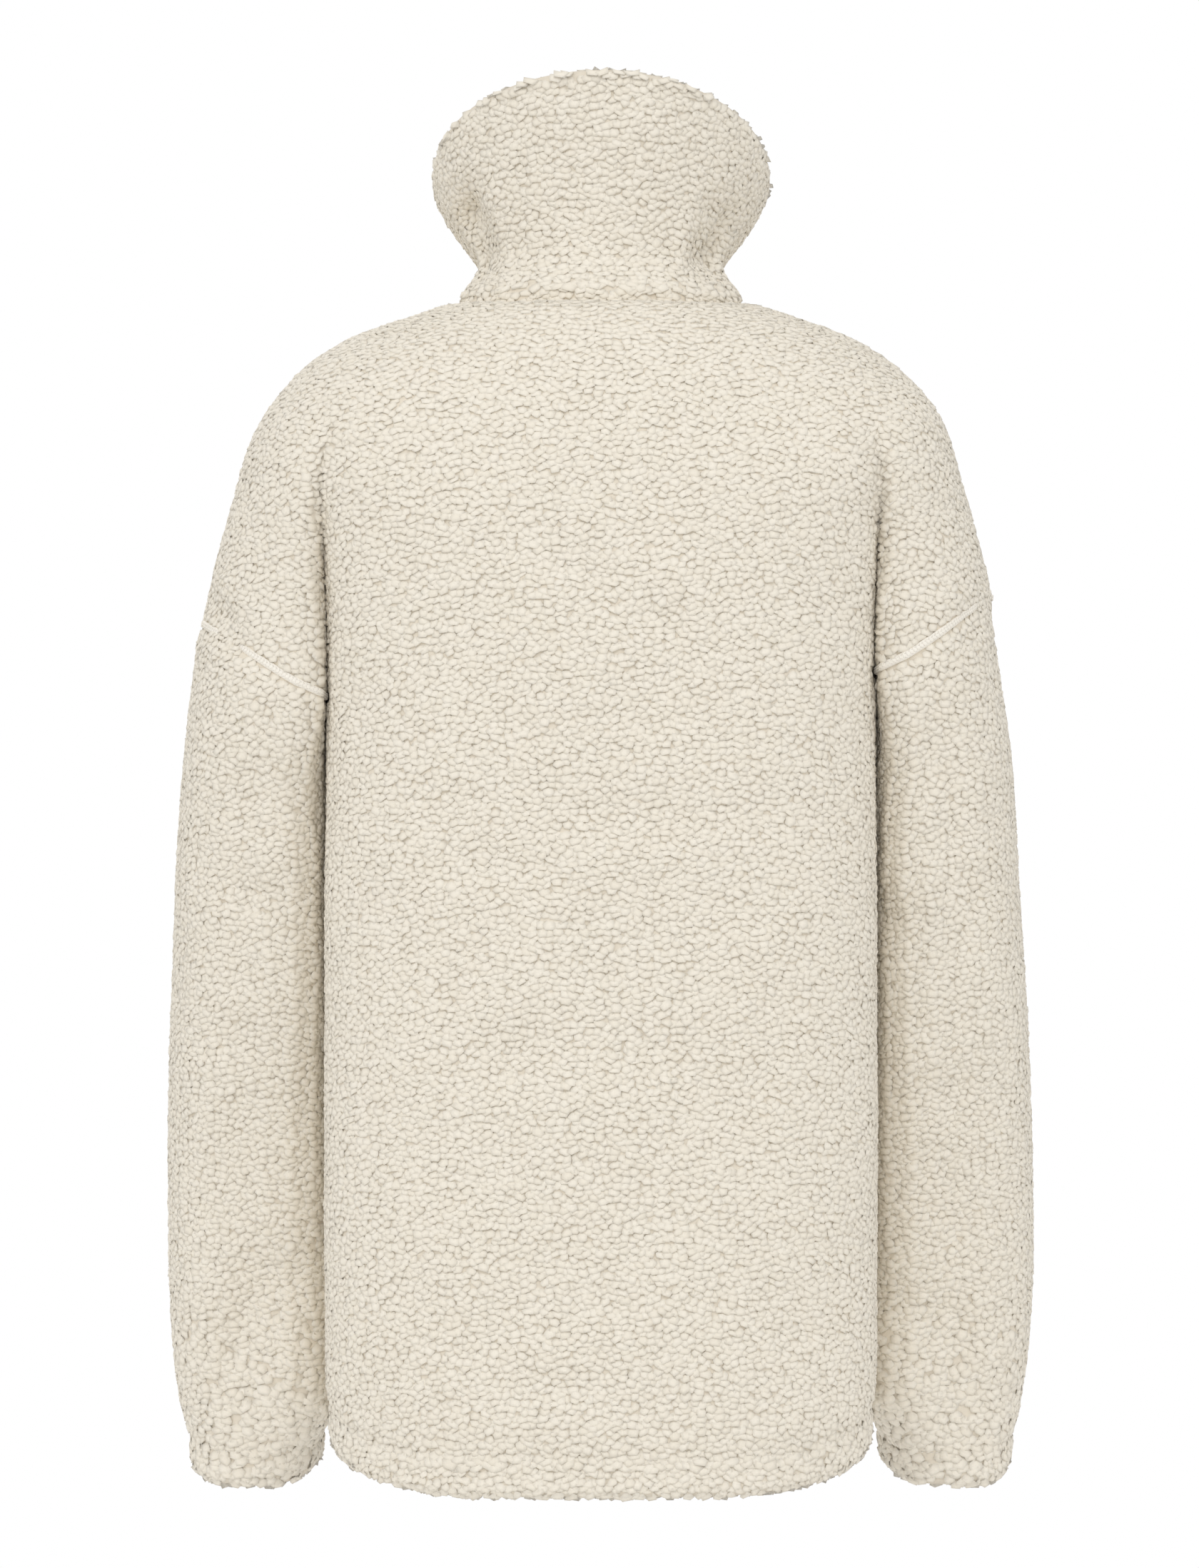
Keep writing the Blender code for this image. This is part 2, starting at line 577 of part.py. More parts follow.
def half_chain(name, edge, finish):
    """The row of coil on one free tape edge, above the slider."""
    start = edge.neck - SLIDER_BELOW_NECK + SLIDER_HEIGHT + 0.0004
    runs = np.concatenate([[start, edge.neck], edge.collar_runs(0.003)])
    far = free_edge(edge, runs) - 0.0001
    return edge_strip(name, edge, runs, far - CHAIN_HALF, far, CHAIN_DEPTHS, finish)


class FrontCentre:
    """The line down the middle of the closed front."""

    def __init__(self, left, right):
        reach = FRONT_EDGE_X
        ends = [edge.at(edge.run, reach, 0.0) for edge in (left, right)]
        self.points = (ends[0] + ends[1]) / 2
        self.out = unit(left.out + right.out)
        self.run = left.run
        self.neck = left.neck

    def frame(self, run):
        """The place, the upward and the outward direction at a distance along the line."""
        place = np.array([np.interp(run, self.run, self.points[:, axis]) for axis in range(3)])
        out = np.array([np.interp(run, self.run, self.out[:, axis]) for axis in range(3)])
        out = unit(out * [0, 1, 1])
        return place * [0, 1, 1], np.array([0, -out[2], out[1]]) * np.sign(out[1]), out

    def block_sections(self, runs, half_width, depths):
        made = []
        for run in runs:
            place, _, out = self.frame(run)
            across = np.array([half_width, 0, 0])
            high, low = place - out * depths[0], place - out * depths[1]
            made.append([high + across, high - across, low - across, low + across])
        return np.array(made)


def placed(name, points, faces, frame, finish):
    """An object from points given as (across, up, out) in a frame."""
    place, up, out = frame
    points = np.asarray(points, float)
    world = place + points[:, :1] * [1, 0, 0] + points[:, 1:2] * up + points[:, 2:] * out
    made = new_object(name, world, faces, finish)
    faces_out(made.data)
    return made


def box_shape(across, up, out):
    points = [(x, y, z) for x in across for y in up for z in out]
    faces = [(0, 1, 3, 2), (4, 6, 7, 5), (0, 4, 5, 1), (2, 3, 7, 6), (0, 2, 6, 4), (1, 5, 7, 3)]
    return points, faces


def drum_shape(half_width, radius, sides=24):
    """A drum round the across axis."""
    angles = np.arange(sides) * 2 * math.pi / sides
    ring = [(radius * math.sin(a), radius * math.cos(a)) for a in angles]
    points = [(-half_width, *p) for p in ring] + [(half_width, *p) for p in ring]
    faces = [(i, (i + 1) % sides, sides + (i + 1) % sides, sides + i) for i in range(sides)]
    faces += [tuple(range(sides))[::-1], tuple(range(sides, 2 * sides))]
    return points, faces


def combine(target, cutter, operation):
    """Adds or cuts away one solid, then removes it."""
    change = target.modifiers.new("change", "BOOLEAN")
    change.object = cutter
    change.operation = operation
    change.solver = "EXACT"
    graph = bpy.context.evaluated_depsgraph_get()
    made = bpy.data.meshes.new_from_object(target.evaluated_get(graph))
    target.modifiers.clear()
    target.data = made
    bpy.data.objects.remove(cutter)


def zip_slider(centre, finish):
    """The slider's body, with a drilled lug that carries the pull."""
    run = centre.neck - SLIDER_BELOW_NECK
    sections = centre.block_sections([run, run + SLIDER_HEIGHT], SLIDER_HALF_WIDTH, SLIDER_DEPTHS)
    narrow = sections[0] * 0.5 + sections[0].mean(axis=0) * 0.5
    sections[0, :, 0] = narrow[:, 0] * 1.6
    slider = strip("zip_slider", sections, finish)
    frame = centre.frame(run + SLIDER_HEIGHT / 2)
    foot = box_shape((-LUG_HALF_WIDTH, LUG_HALF_WIDTH), (-LUG_RADIUS, LUG_RADIUS), (-0.0024, 0.0))
    combine(slider, placed("foot", *foot, frame, finish), "UNION")
    combine(slider, placed("lug", *drum_shape(LUG_HALF_WIDTH, LUG_RADIUS), frame, finish), "UNION")
    combine(slider, placed("bore", *drum_shape(0.004, LUG_HOLE), frame, finish), "DIFFERENCE")
    slider.data.materials.clear()
    slider.data.materials.append(finish)
    return frame


def zip_pull(frame, finish):
    """A flat tab with a window; the bar over the window is its hinge pin. Its origin is on the pin."""
    half, thick = PULL_HALF_WIDTH, PULL_THICKNESS / 2
    across = [-half, -0.0017, 0.0017, half]
    up = [thick, -thick, -0.0052, 0.0012 - PULL_LENGTH, -PULL_LENGTH]
    points, faces = [], []
    for out in (thick, -thick):
        for height in up:
            shrink = 0.75 if height == up[-1] else 0.88 if height == up[0] else 1.0
            points += [(x * shrink, height, out) for x in across]
    count = len(across)
    layer = count * len(up)
    solid = [(row, column) for row in range(len(up) - 1) for column in range(count - 1)]
    solid.remove((1, 1))
    for row, column in solid:
        a = row * count + column
        quad = (a, a + 1, a + 1 + count, a + count)
        faces += [quad, tuple(i + layer for i in quad[::-1])]
    edges = {}
    for quad in faces[::2]:
        for i in range(4):
            edges[(quad[i], quad[(i + 1) % 4])] = True
    for a, b in edges:
        if (b, a) not in edges:
            faces.append((b, a, a + layer, b + layer))
    pull = placed("zip_pull", points, faces, frame, finish)
    pin = Vector(frame[0])
    pull.data.transform(Matrix.Translation(-pin))
    pull.location = pin


def main():
    for old in list(bpy.data.objects):
        bpy.data.objects.remove(old)
    fleece = material("pile_fleece", (0.76, 0.69, 0.58), 0.95)
    woven = material("woven_zip_tape", (0.70, 0.64, 0.54), 0.80)
    nylon = material("nylon_coil", (0.74, 0.69, 0.60), 0.45)
    metal = material("brushed_nickel", (0.58, 0.56, 0.53), 0.35, metallic=1.0)

    surface, rings = jacket_surface()
    for piece, faces in surface.pieces.items():
        wall(piece, surface, faces, COLLAR_FLEECE if piece == "collar" else FLEECE, fleece)

    left, right = FrontEdge(surface, rings, 1), FrontEdge(surface, rings, -1)
    zip_tape("zip_tape_left", left, woven)
    zip_tape("zip_tape_right", right, woven)
    half_chain("zip_chain_left", left, nylon)
    half_chain("zip_chain_right", right, nylon)

    centre = FrontCentre(left, right)
    slider_foot = centre.neck - SLIDER_BELOW_NECK
    runs = centre.run[(centre.run > BOX_HEIGHT + 0.004) & (centre.run < slider_foot - 0.003)]
    runs = np.concatenate([[BOX_HEIGHT + 0.0023], runs, [slider_foot - 0.0004]])
    strip("zip_chain", centre.block_sections(runs, CHAIN_HALF_WIDTH, CHAIN_DEPTHS), nylon)
    box_runs = [0.002, 0.002 + BOX_HEIGHT]
    strip("zip_box", centre.block_sections(box_runs, 0.0040, (0.0016, 0.0050)), nylon)
    zip_pull(zip_slider(centre, metal), metal)


main()
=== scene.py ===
# %% [markdown]
# # A cream pile fleece jacket
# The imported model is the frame: plain solids in the jacket's true shape. This script dresses them. It
# lays a thin knitted ground on the same form, grows the pile on it as some seventy thousand small tufts,
# and adds the seams, the stitching and the zip. Everything is in metres, with +Z up, the wearer facing
# -Y and the wearer's left arm at +X.

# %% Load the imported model
import math

import bmesh
import bpy
import numpy as np
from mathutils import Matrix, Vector


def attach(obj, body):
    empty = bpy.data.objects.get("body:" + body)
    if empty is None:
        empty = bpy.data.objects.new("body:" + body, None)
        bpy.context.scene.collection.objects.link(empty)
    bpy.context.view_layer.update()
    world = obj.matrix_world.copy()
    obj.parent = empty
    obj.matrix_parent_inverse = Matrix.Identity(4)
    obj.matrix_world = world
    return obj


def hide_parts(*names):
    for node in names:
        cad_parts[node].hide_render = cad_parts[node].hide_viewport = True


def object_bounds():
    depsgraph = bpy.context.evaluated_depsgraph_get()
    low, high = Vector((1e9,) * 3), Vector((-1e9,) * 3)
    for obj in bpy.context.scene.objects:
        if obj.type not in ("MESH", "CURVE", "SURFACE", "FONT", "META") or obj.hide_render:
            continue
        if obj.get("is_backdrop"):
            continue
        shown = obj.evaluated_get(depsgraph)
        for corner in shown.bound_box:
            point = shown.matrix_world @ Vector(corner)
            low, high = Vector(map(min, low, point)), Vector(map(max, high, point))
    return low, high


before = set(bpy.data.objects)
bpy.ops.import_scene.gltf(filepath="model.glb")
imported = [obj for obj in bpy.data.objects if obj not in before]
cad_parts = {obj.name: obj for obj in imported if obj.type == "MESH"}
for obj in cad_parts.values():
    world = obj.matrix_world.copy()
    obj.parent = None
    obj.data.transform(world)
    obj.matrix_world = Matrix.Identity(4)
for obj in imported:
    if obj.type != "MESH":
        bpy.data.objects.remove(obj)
cad_low, cad_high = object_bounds()

# %% [markdown]
# ## The camera
# The photograph was taken level with the middle of the jacket's back from about 3 m away, which keeps
# the sleeves and the body in nearly the same scale. The lens is worked out so that one pixel of the
# 1680 by 2197 picture covers 0.4244 mm at the plane of the side seams.

# %% Camera behind the jacket
MM_PER_PIXEL, PHOTO_HEIGHT = 0.4244, 2197
CAMERA_X, CAMERA_DISTANCE, CAMERA_Z = 0.0008, 3.0, -0.2871

camera_data = bpy.data.cameras.new("camera")
camera_data.lens = camera_data.sensor_width * CAMERA_DISTANCE / (PHOTO_HEIGHT * MM_PER_PIXEL / 1000)
camera_data.clip_end = 60
camera = bpy.data.objects.new("camera", camera_data)
camera.location = (CAMERA_X, CAMERA_DISTANCE, CAMERA_Z)
camera.rotation_euler = (math.radians(90), 0, math.radians(180))
bpy.context.scene.collection.objects.link(camera)
bpy.context.scene.camera = camera
print("lens", round(camera_data.lens, 1), "mm")

# %% [markdown]
# ## The form of the worn jacket
# A garment that keeps its worn form is a set of rings: hem to neck for the body, armhole to cuff for the
# sleeves, seam to edge for the collar. A few measured rings in a table, with a smooth curve through each
# column, give a surface that can be cut as finely as the folds need. The tables are the pattern: change
# a number and the whole jacket follows.

# %% How finely the form is divided
TORSO_COLUMNS, ARM_COLUMNS, SIDE_COLUMNS = 22, 13, 5
TORSO_ROWS, YOKE_ROWS, SLEEVE_ROWS, COLLAR_ROWS = 58, 42, 60, 24
DENSE = 240

# %% Measured rings
HEM_RISE, HEM_RISE_HALF_WIDTH, HEM_RISE_REACH = 0.040, 0.125, 0.16
SIDE_SEAM_Y = -0.006
CUFF_RISE_OUTER, CUFF_RISE_INNER = 0.007, 0.011
ARMHOLE_TILT, ARMHOLE_LEVEL = 0.0075, -0.229
UNDERARM_GAP = 0.0005
RIGHT_ARM_IN = 0.0040
FRONT_EDGE_X = 0.0065
SLEEVE_ROUNDING, SLEEVE_TILT_REACH, SLEEVE_FOLD_ANGLE = 0.085, 0.20, math.radians(152)
DENT_ANGLE, DENT_HALF_ANGLE, DENT_DEPTH = math.radians(66), math.radians(11), 0.0075
DENT_HEIGHT, DENT_HALF_HEIGHT = 0.34, 0.20


def table(columns, *rows):
    """One named column for each word, one row for each ring."""
    return dict(zip(columns.split(), np.array(rows, float).T))


TORSO = table(
    "at      back_y front_y front_z fold_x fold_back_y fold_front_y corner",
    (-0.695, 0.129, -0.127, -0.695, 0.1605, 0.032, -0.044, 2.25),
    (-0.655, 0.131, -0.130, -0.655, 0.1625, 0.033, -0.045, 2.30),
    (-0.580, 0.131, -0.133, -0.580, 0.1630, 0.036, -0.048, 2.35),
    (-0.460, 0.130, -0.135, -0.460, 0.1630, 0.040, -0.052, 2.40),
    (-0.340, 0.129, -0.136, -0.340, 0.1625, 0.043, -0.055, 2.40),
    (-0.229, 0.128, -0.134, -0.229, 0.1620, 0.045, -0.058, 2.40),
    (-0.190, 0.127, -0.132, -0.202, 0.1620, 0.052, -0.064, 2.40),
    (-0.150, 0.125, -0.129, -0.175, 0.1620, 0.064, -0.073, 2.40),
    (-0.110, 0.121, -0.124, -0.148, 0.1600, 0.080, -0.086, 2.35),
    (-0.078, 0.115, -0.118, -0.125, 0.1500, 0.082, -0.088, 2.30),
    (-0.053, 0.108, -0.112, -0.105, 0.1340, 0.078, -0.085, 2.25),
    (-0.032, 0.098, -0.106, -0.089, 0.1110, 0.070, -0.080, 2.15),
    (-0.015, 0.085, -0.099, -0.075, 0.0860, 0.060, -0.074, 2.05),
    (-0.002, 0.070, -0.092, -0.062, 0.0650, 0.050, -0.068, 2.00),
)
SHOULDER = table(
    "at      side_x side_y  side_z  arm_back_y arm_front_y hull fold",
    (-0.229, 0.2385, -0.010, -0.1840, 0.072, -0.092, 3.0, 1.00),
    (-0.190, 0.2300, -0.009, -0.1500, 0.073, -0.091, 3.0, 1.00),
    (-0.150, 0.2205, -0.008, -0.1160, 0.075, -0.091, 2.9, 0.96),
    (-0.110, 0.2075, -0.007, -0.0780, 0.080, -0.092, 2.8, 0.55),
    (-0.078, 0.1910, -0.006, -0.0540, 0.082, -0.090, 2.6, 0.06),
    (-0.053, 0.1715, -0.006, -0.0350, 0.078, -0.085, 2.4, 0.00),
    (-0.032, 0.1445, -0.005, -0.0195, 0.070, -0.080, 2.2, 0.00),
    (-0.015, 0.1135, -0.005, -0.0085, 0.060, -0.074, 2.1, 0.00),
    (-0.002, 0.0880, -0.005, 0.0000, 0.050, -0.068, 2.0, 0.00),
)
SLEEVE = table(
    "at      inner_x outer_x centre_y half_y square",
    (-0.709, 0.1690, 0.2500, -0.074, 0.049, 2.2),
    (-0.685, 0.1680, 0.2530, -0.073, 0.050, 2.2),
    (-0.646, 0.1670, 0.2590, -0.070, 0.053, 2.2),
    (-0.600, 0.1660, 0.2625, -0.066, 0.057, 2.2),
    (-0.520, 0.1655, 0.2630, -0.056, 0.064, 2.2),
    (-0.450, 0.1650, 0.2610, -0.044, 0.070, 2.2),
    (-0.370, 0.1650, 0.2565, -0.032, 0.075, 2.2),
    (-0.290, 0.1650, 0.2500, -0.021, 0.079, 2.2),
    (-0.229, 0.1650, 0.2440, -0.012, 0.081, 2.2),
)
COLLAR = table(
    "at    side_x side_y  side_z back_y back_z front_y front_z edge_x bow",
    (0.00, 0.0880, -0.005, 0.000, 0.070, -0.002, -0.092, -0.062, 0.0065, 2.0),
    (0.14, 0.0745, -0.012, 0.020, 0.055, 0.018, -0.092, -0.040, 0.0110, 1.8),
    (0.32, 0.0820, -0.020, 0.038, 0.053, 0.042, -0.099, -0.016, 0.0200, 1.5),
    (0.55, 0.0935, -0.028, 0.055, 0.058, 0.073, -0.108, 0.008, 0.0320, 1.2),
    (0.78, 0.1010, -0.034, 0.069, 0.065, 0.103, -0.116, 0.026, 0.0440, 1.0),
    (1.00, 0.1030, -0.036, 0.078, 0.070, 0.129, -0.120, 0.038, 0.0520, 1.0),
)


# %% Curves through the tables
def along(rings, name, places):
    """A smooth curve through one column of a ring table, read at the places given."""
    x, y = rings["at"], rings[name]
    slope = np.gradient(y, x)
    i = np.clip(np.searchsorted(x, places) - 1, 0, len(x) - 2)
    step = x[i + 1] - x[i]
    u = (places - x[i]) / step
    rise = y[i + 1] - y[i]
    start, end = slope[i] * step, slope[i + 1] * step
    return y[i] + u * (start + u * (3 * rise - 2 * start - end + u * (start + end - 2 * rise)))


def smooth_step(value):
    value = np.clip(value, 0, 1)
    return value * value * (3 - 2 * value)


def unit(vectors):
    return vectors / np.maximum(np.linalg.norm(vectors, axis=-1, keepdims=True), 1e-12)


def super_quarter(share, width, depth, power):
    """A quarter of a rounded section, from its middle at share 0 to its side at share 1."""
    angle = share * math.pi / 2
    return width * np.sin(angle) ** (2 / power), depth * np.cos(angle) ** (2 / power)


def run_along(line):
    """How far along a line each of its points lies."""
    return np.concatenate([[0], np.cumsum(np.linalg.norm(np.diff(line, axis=0), axis=1))])


def read_at(places, run, values):
    """Vectors known at the distances in run, read at other places."""
    return np.stack([np.interp(places, run, values[:, axis]) for axis in range(3)], -1)


def spaced(dense, count, start_x=0.0):
    """count + 1 points evenly spaced along each dense row, beginning where the row reaches start_x."""
    made = []
    for row in dense:
        run = run_along(row[:, :2])
        begin = np.interp(start_x, row[:, 0], run) if start_x else 0.0
        made.append(read_at(np.linspace(begin, run[-1], count + 1), run, row))
    return np.stack(made)


# %% [markdown]
# ### Body and shoulders
# Each ring is made a quarter at a time. Below the armhole the body is a rounded box with a flat side.
# Above it the cloth folds in at the arm, and the fold opens out into the round of the shoulder, because
# a dropped shoulder is cut in one with the body.


# %% Rings of the body
def torso_arc(levels, half, share):
    middle_y, fold_y = (along(TORSO, name + half + "_y", levels) for name in ("", "fold_"))
    fold_x, corner = along(TORSO, "fold_x", levels), along(TORSO, "corner", levels)
    x, y = super_quarter(share, fold_x, middle_y - fold_y, corner)
    return x, fold_y + y


def middle_z(levels, half):
    return levels if half == "back" else along(TORSO, "front_z", levels)


def torso_quarter(levels, half):
    """Rings below the armhole: the arc of the body, then its flat side."""
    levels = levels[:, None]
    share = np.linspace(0, 1, DENSE)[None, :]
    x, y = torso_arc(levels, half, share)
    z = middle_z(levels, half) + 0 * x
    arc = spaced(np.stack([x, y, z], -1), TORSO_COLUMNS, 0.0 if half == "back" else FRONT_EDGE_X)
    side_share = np.linspace(0, 1, SIDE_COLUMNS + 1)[None, 1:, None]
    end = arc[:, -1:, :].copy()
    end[:, :, 1] = SIDE_SEAM_Y
    ring = np.concatenate([arc, arc[:, -1:, :] * (1 - side_share) + end * side_share], 1)
    near_hem = smooth_step(1 - (levels - TORSO["at"][0]) / HEM_RISE_REACH)
    from_seam = np.hypot(ring[:, :, 1] - SIDE_SEAM_Y, 0.012)
    ring[:, :, 2] += HEM_RISE * near_hem * np.clip(1 - from_seam / HEM_RISE_HALF_WIDTH, 0, 1) ** 1.2
    return ring


def yoke_quarter(levels, half):
    """Rings above the armhole: the arc of the body, then the round of the upper arm."""
    levels = levels[:, None]
    share = np.linspace(0, 1, DENSE)[None, :]
    side_x, side_y, side_z = (along(SHOULDER, name, levels) for name in ("side_x", "side_y", "side_z"))
    arm_y = along(SHOULDER, "arm_" + half + "_y", levels)
    hull = along(SHOULDER, "hull", levels)
    opened = np.clip(along(SHOULDER, "fold", levels), 0, 1)
    fold_x = along(TORSO, "fold_x", levels)
    fold_y = along(TORSO, "fold_" + half + "_y", levels)
    depth = along(TORSO, half + "_y", levels) - side_y

    turn = np.arcsin(np.clip(fold_x / side_x, 0, 1) ** (hull / 2)) / (math.pi / 2)
    hull_x, hull_y = super_quarter(share * turn, side_x, depth, hull)
    torso_x, torso_y = torso_arc(levels, half, share)
    torso = [hull_x + (torso_x - hull_x) * opened, side_y + hull_y + (torso_y - side_y - hull_y) * opened]

    hull_x, hull_y = super_quarter(turn + share * (1 - turn), side_x, depth, hull)
    arm_x = (fold_x + side_x) / 2 - (side_x - fold_x) / 2 * np.cos(math.pi * share)
    bulge = arm_y - (fold_y + side_y) / 2
    round_y = fold_y + (side_y - fold_y) * share + bulge * np.sin(math.pi * share) ** 0.8
    arm = [hull_x + (arm_x - hull_x) * opened, side_y + hull_y + (round_y - side_y - hull_y) * opened]

    parts = []
    for (x, y), count, edge in ((torso, TORSO_COLUMNS, half == "front"), (arm, ARM_COLUMNS, False)):
        past_fold = np.clip((x - fold_x) / (side_x - fold_x), 0, 1)
        share_out = opened * past_fold + (1 - opened) * np.clip(x / side_x, 0, 1) ** 2
        z = middle_z(levels, half) + (side_z - middle_z(levels, half)) * share_out
        parts.append(spaced(np.stack([x, y, z], -1), count, FRONT_EDGE_X if edge else 0.0))
    return np.concatenate([parts[0], parts[1][:, 1:]], 1)


def drawn_in(x, z):
    """The right arm hangs a little closer than the left one."""
    hang = smooth_step((-0.045 - z) / 0.06) * smooth_step((z + 0.60) / 0.30)
    return x - RIGHT_ARM_IN * hang * smooth_step((x - 0.165) / 0.07)


def whole_ring(quarter, levels):
    """An open ring: left front edge, left side, centre back, right side, right front edge."""
    front, back = quarter(levels, "front"), quarter(levels, "back")
    left = np.concatenate([front, back[:, -2::-1]], 1)
    right = left[:, -2::-1].copy()
    right[:, :, 0] = -drawn_in(right[:, :, 0], right[:, :, 2])
    ring = np.concatenate([left, right], 1)
    near = 1 - smooth_step(np.abs(levels - ARMHOLE_LEVEL) / 0.17)
    ring[:, :, 2] -= ARMHOLE_TILT * near[:, None] * np.clip(ring[:, :, 0] / 0.163, -1, 1)
    return ring


# %% Rings of the sleeves and the collar
def sleeve_rings(seam_arm, side):
    """Closed rings below an armhole seam: the columns round the arm, then those beside the body."""
    down = np.linspace(0, 1, SLEEVE_ROWS + 1)[:, None]
    top, bottom = seam_arm[0, 2], SLEEVE["at"][0]
    height = top + (bottom - top) * down
    between = 2 * SIDE_COLUMNS + 1
    inner = np.linspace(0, 1, between)[1:-1, None]
    bridge = seam_arm[-1] + (seam_arm[0] - seam_arm[-1]) * inner
    bridge[:, 0] = side * (np.abs(bridge[:, 0]) + UNDERARM_GAP)
    first = np.concatenate([seam_arm, bridge])

    count = len(seam_arm) - 1
    arm_angle = np.linspace(-SLEEVE_FOLD_ANGLE, SLEEVE_FOLD_ANGLE, count + 1)
    inner_angle = np.linspace(SLEEVE_FOLD_ANGLE, 2 * math.pi - SLEEVE_FOLD_ANGLE, between)[1:-1]
    angle = np.concatenate([arm_angle, inner_angle])[None, :]
    ring = {name: along(SLEEVE, name, height) for name in SLEEVE}
    inner_x, outer_x, power = ring["inner_x"], ring["outer_x"], 2 / ring["square"]
    cos, sin = np.cos(angle), np.sin(angle)
    x = (inner_x + outer_x) / 2 + (outer_x - inner_x) / 2 * np.sign(cos) * np.abs(cos) ** power
    y = ring["centre_y"] + ring["half_y"] * np.sign(sin) * np.abs(sin) ** power

    round_share = smooth_step((top - height) / SLEEVE_ROUNDING)
    own_x = np.abs(first[None, :, 0])
    top_x = np.where(np.arange(len(first)) > count, own_x, own_x + outer_x - outer_x[:1])
    x = top_x * (1 - round_share) + x * round_share
    y = first[None, :, 1] * (1 - round_share) + y * round_share
    tilt = (first[None, :, 2] - top) * np.clip(1 - (top - height) / SLEEVE_TILT_REACH, 0, 1) ** 1.3
    near_cuff = smooth_step(1 - (height - bottom) / 0.05)
    z = height + tilt + near_cuff * np.where(cos > 0, CUFF_RISE_OUTER, CUFF_RISE_INNER) * cos**4
    if side < 0:
        x = drawn_in(x, z)
    rings = np.stack([side * x, y, z], -1)
    rings[0] = first
    return rings


def collar_rings(neck):
    """Open collar rings above the neck seam, with the same columns as the neck ring."""
    up = np.linspace(0, 1, COLLAR_ROWS + 1)[:, None]
    ring = {name: along(COLLAR, name, up) for name in COLLAR}
    base = {name: value[0] for name, value in ring.items()}
    is_back = neck[None, :, 1] >= base["side_y"]
    base_depth = np.where(is_back, base["back_y"] - base["side_y"], base["side_y"] - base["front_y"])
    neck_x, neck_y = np.abs(neck[None, :, 0]), neck[None, :, 1] - base["side_y"]
    turn = np.arctan2(neck_x / base["side_x"], neck_y / base_depth)
    last = math.pi - np.arcsin(np.clip(base["edge_x"] / base["side_x"], 0, 1))
    open_last = math.pi - np.arcsin(np.clip(ring["edge_x"] / ring["side_x"], 0, 1))
    stretch = (open_last - math.pi / 2) / (last - math.pi / 2)
    turn = np.where(is_back, turn, math.pi / 2 + (turn - math.pi / 2) * stretch)
    across = np.exp(-(((turn - DENT_ANGLE) / DENT_HALF_ANGLE) ** 2))
    upward = np.exp(-(((up - DENT_HEIGHT) / DENT_HALF_HEIGHT) ** 2)) * smooth_step(up / 0.12)
    shrink = 1 - DENT_DEPTH * across * upward / ring["side_x"]
    cos, sin = np.cos(turn), np.sin(turn)
    depth = np.where(is_back, ring["back_y"] - ring["side_y"], ring["side_y"] - ring["front_y"])
    end_z = np.where(is_back, ring["back_z"], ring["front_z"])
    x = np.sign(neck[None, :, 0]) * ring["side_x"] * sin * shrink
    y = ring["side_y"] + depth * cos * shrink
    z = ring["side_z"] + (end_z - ring["side_z"]) * np.abs(cos) ** ring["bow"]
    rings = np.stack([x, y, z], -1)
    rings[0] = neck
    return rings


# %% One surface, cut along the seams
def leaning(points, faces):
    """For each four-sided face, a vector straight out from it, twice as long as its area."""
    corners = points[faces]
    return np.cross(corners[:, 2] - corners[:, 0], corners[:, 3] - corners[:, 1])


def outward_directions(points, faces):
    total = np.zeros_like(points)
    for corner in range(4):
        np.add.at(total, faces[:, corner], leaning(points, faces))
    return unit(total)


blocks, pieces = [], {}


def add_points(grid):
    first = sum(len(block) for block in blocks)
    blocks.append(grid.reshape(-1, 3))
    return first + np.arange(grid.shape[0] * grid.shape[1]).reshape(grid.shape[:2])


def add_faces(piece, numbers, outward=True):
    a, b = numbers[:-1, :-1].ravel(), numbers[:-1, 1:].ravel()
    c, d = numbers[1:, 1:].ravel(), numbers[1:, :-1].ravel()
    pieces.setdefault(piece, []).append(np.stack([a, b, c, d] if outward else [d, c, b, a], 1))


yoke_levels = np.interp(
    np.linspace(0, 1, YOKE_ROWS + 1), np.linspace(0, 1, len(SHOULDER["at"])), SHOULDER["at"]
)
torso_levels = np.linspace(TORSO["at"][0], ARMHOLE_LEVEL, TORSO_ROWS + 1)
yoke, torso = whole_ring(yoke_quarter, yoke_levels), whole_ring(torso_quarter, torso_levels)
yoke_ids, torso_ids = add_points(yoke), add_points(torso)
quarter, low_quarter = TORSO_COLUMNS + ARM_COLUMNS, TORSO_COLUMNS + SIDE_COLUMNS
for low, high, count in (
    (0, 0, TORSO_COLUMNS),
    (low_quarter + SIDE_COLUMNS, quarter + ARM_COLUMNS, 2 * TORSO_COLUMNS),
    (3 * low_quarter + SIDE_COLUMNS, 3 * quarter + ARM_COLUMNS, TORSO_COLUMNS),
):
    torso_ids[-1, low : low + count + 1] = yoke_ids[0, high : high + count + 1]
for ids, per_quarter in ((torso_ids, low_quarter), (yoke_ids, quarter)):
    add_faces("front_left", ids[:, : per_quarter + 1])
    add_faces("back", ids[:, per_quarter : 3 * per_quarter + 1])
    add_faces("front_right", ids[:, 3 * per_quarter :])
sleeve_ids = {}
first_arm_column = {1: TORSO_COLUMNS, -1: 2 * quarter + TORSO_COLUMNS}
for side, piece in ((1, "sleeve_left"), (-1, "sleeve_right")):
    round_arm = slice(first_arm_column[side], first_arm_column[side] + 2 * ARM_COLUMNS + 1)
    seam_ids = yoke_ids[0, round_arm][::side]
    ids = add_points(sleeve_rings(yoke[0, round_arm][::side], side))
    ids[0, : len(seam_ids)] = seam_ids
    sleeve_ids[piece] = np.concatenate([ids, ids[:, :1]], 1)
    add_faces(piece, sleeve_ids[piece], outward=side < 0)
collar_ids = add_points(collar_rings(yoke[-1]))
collar_ids[0] = yoke_ids[-1]
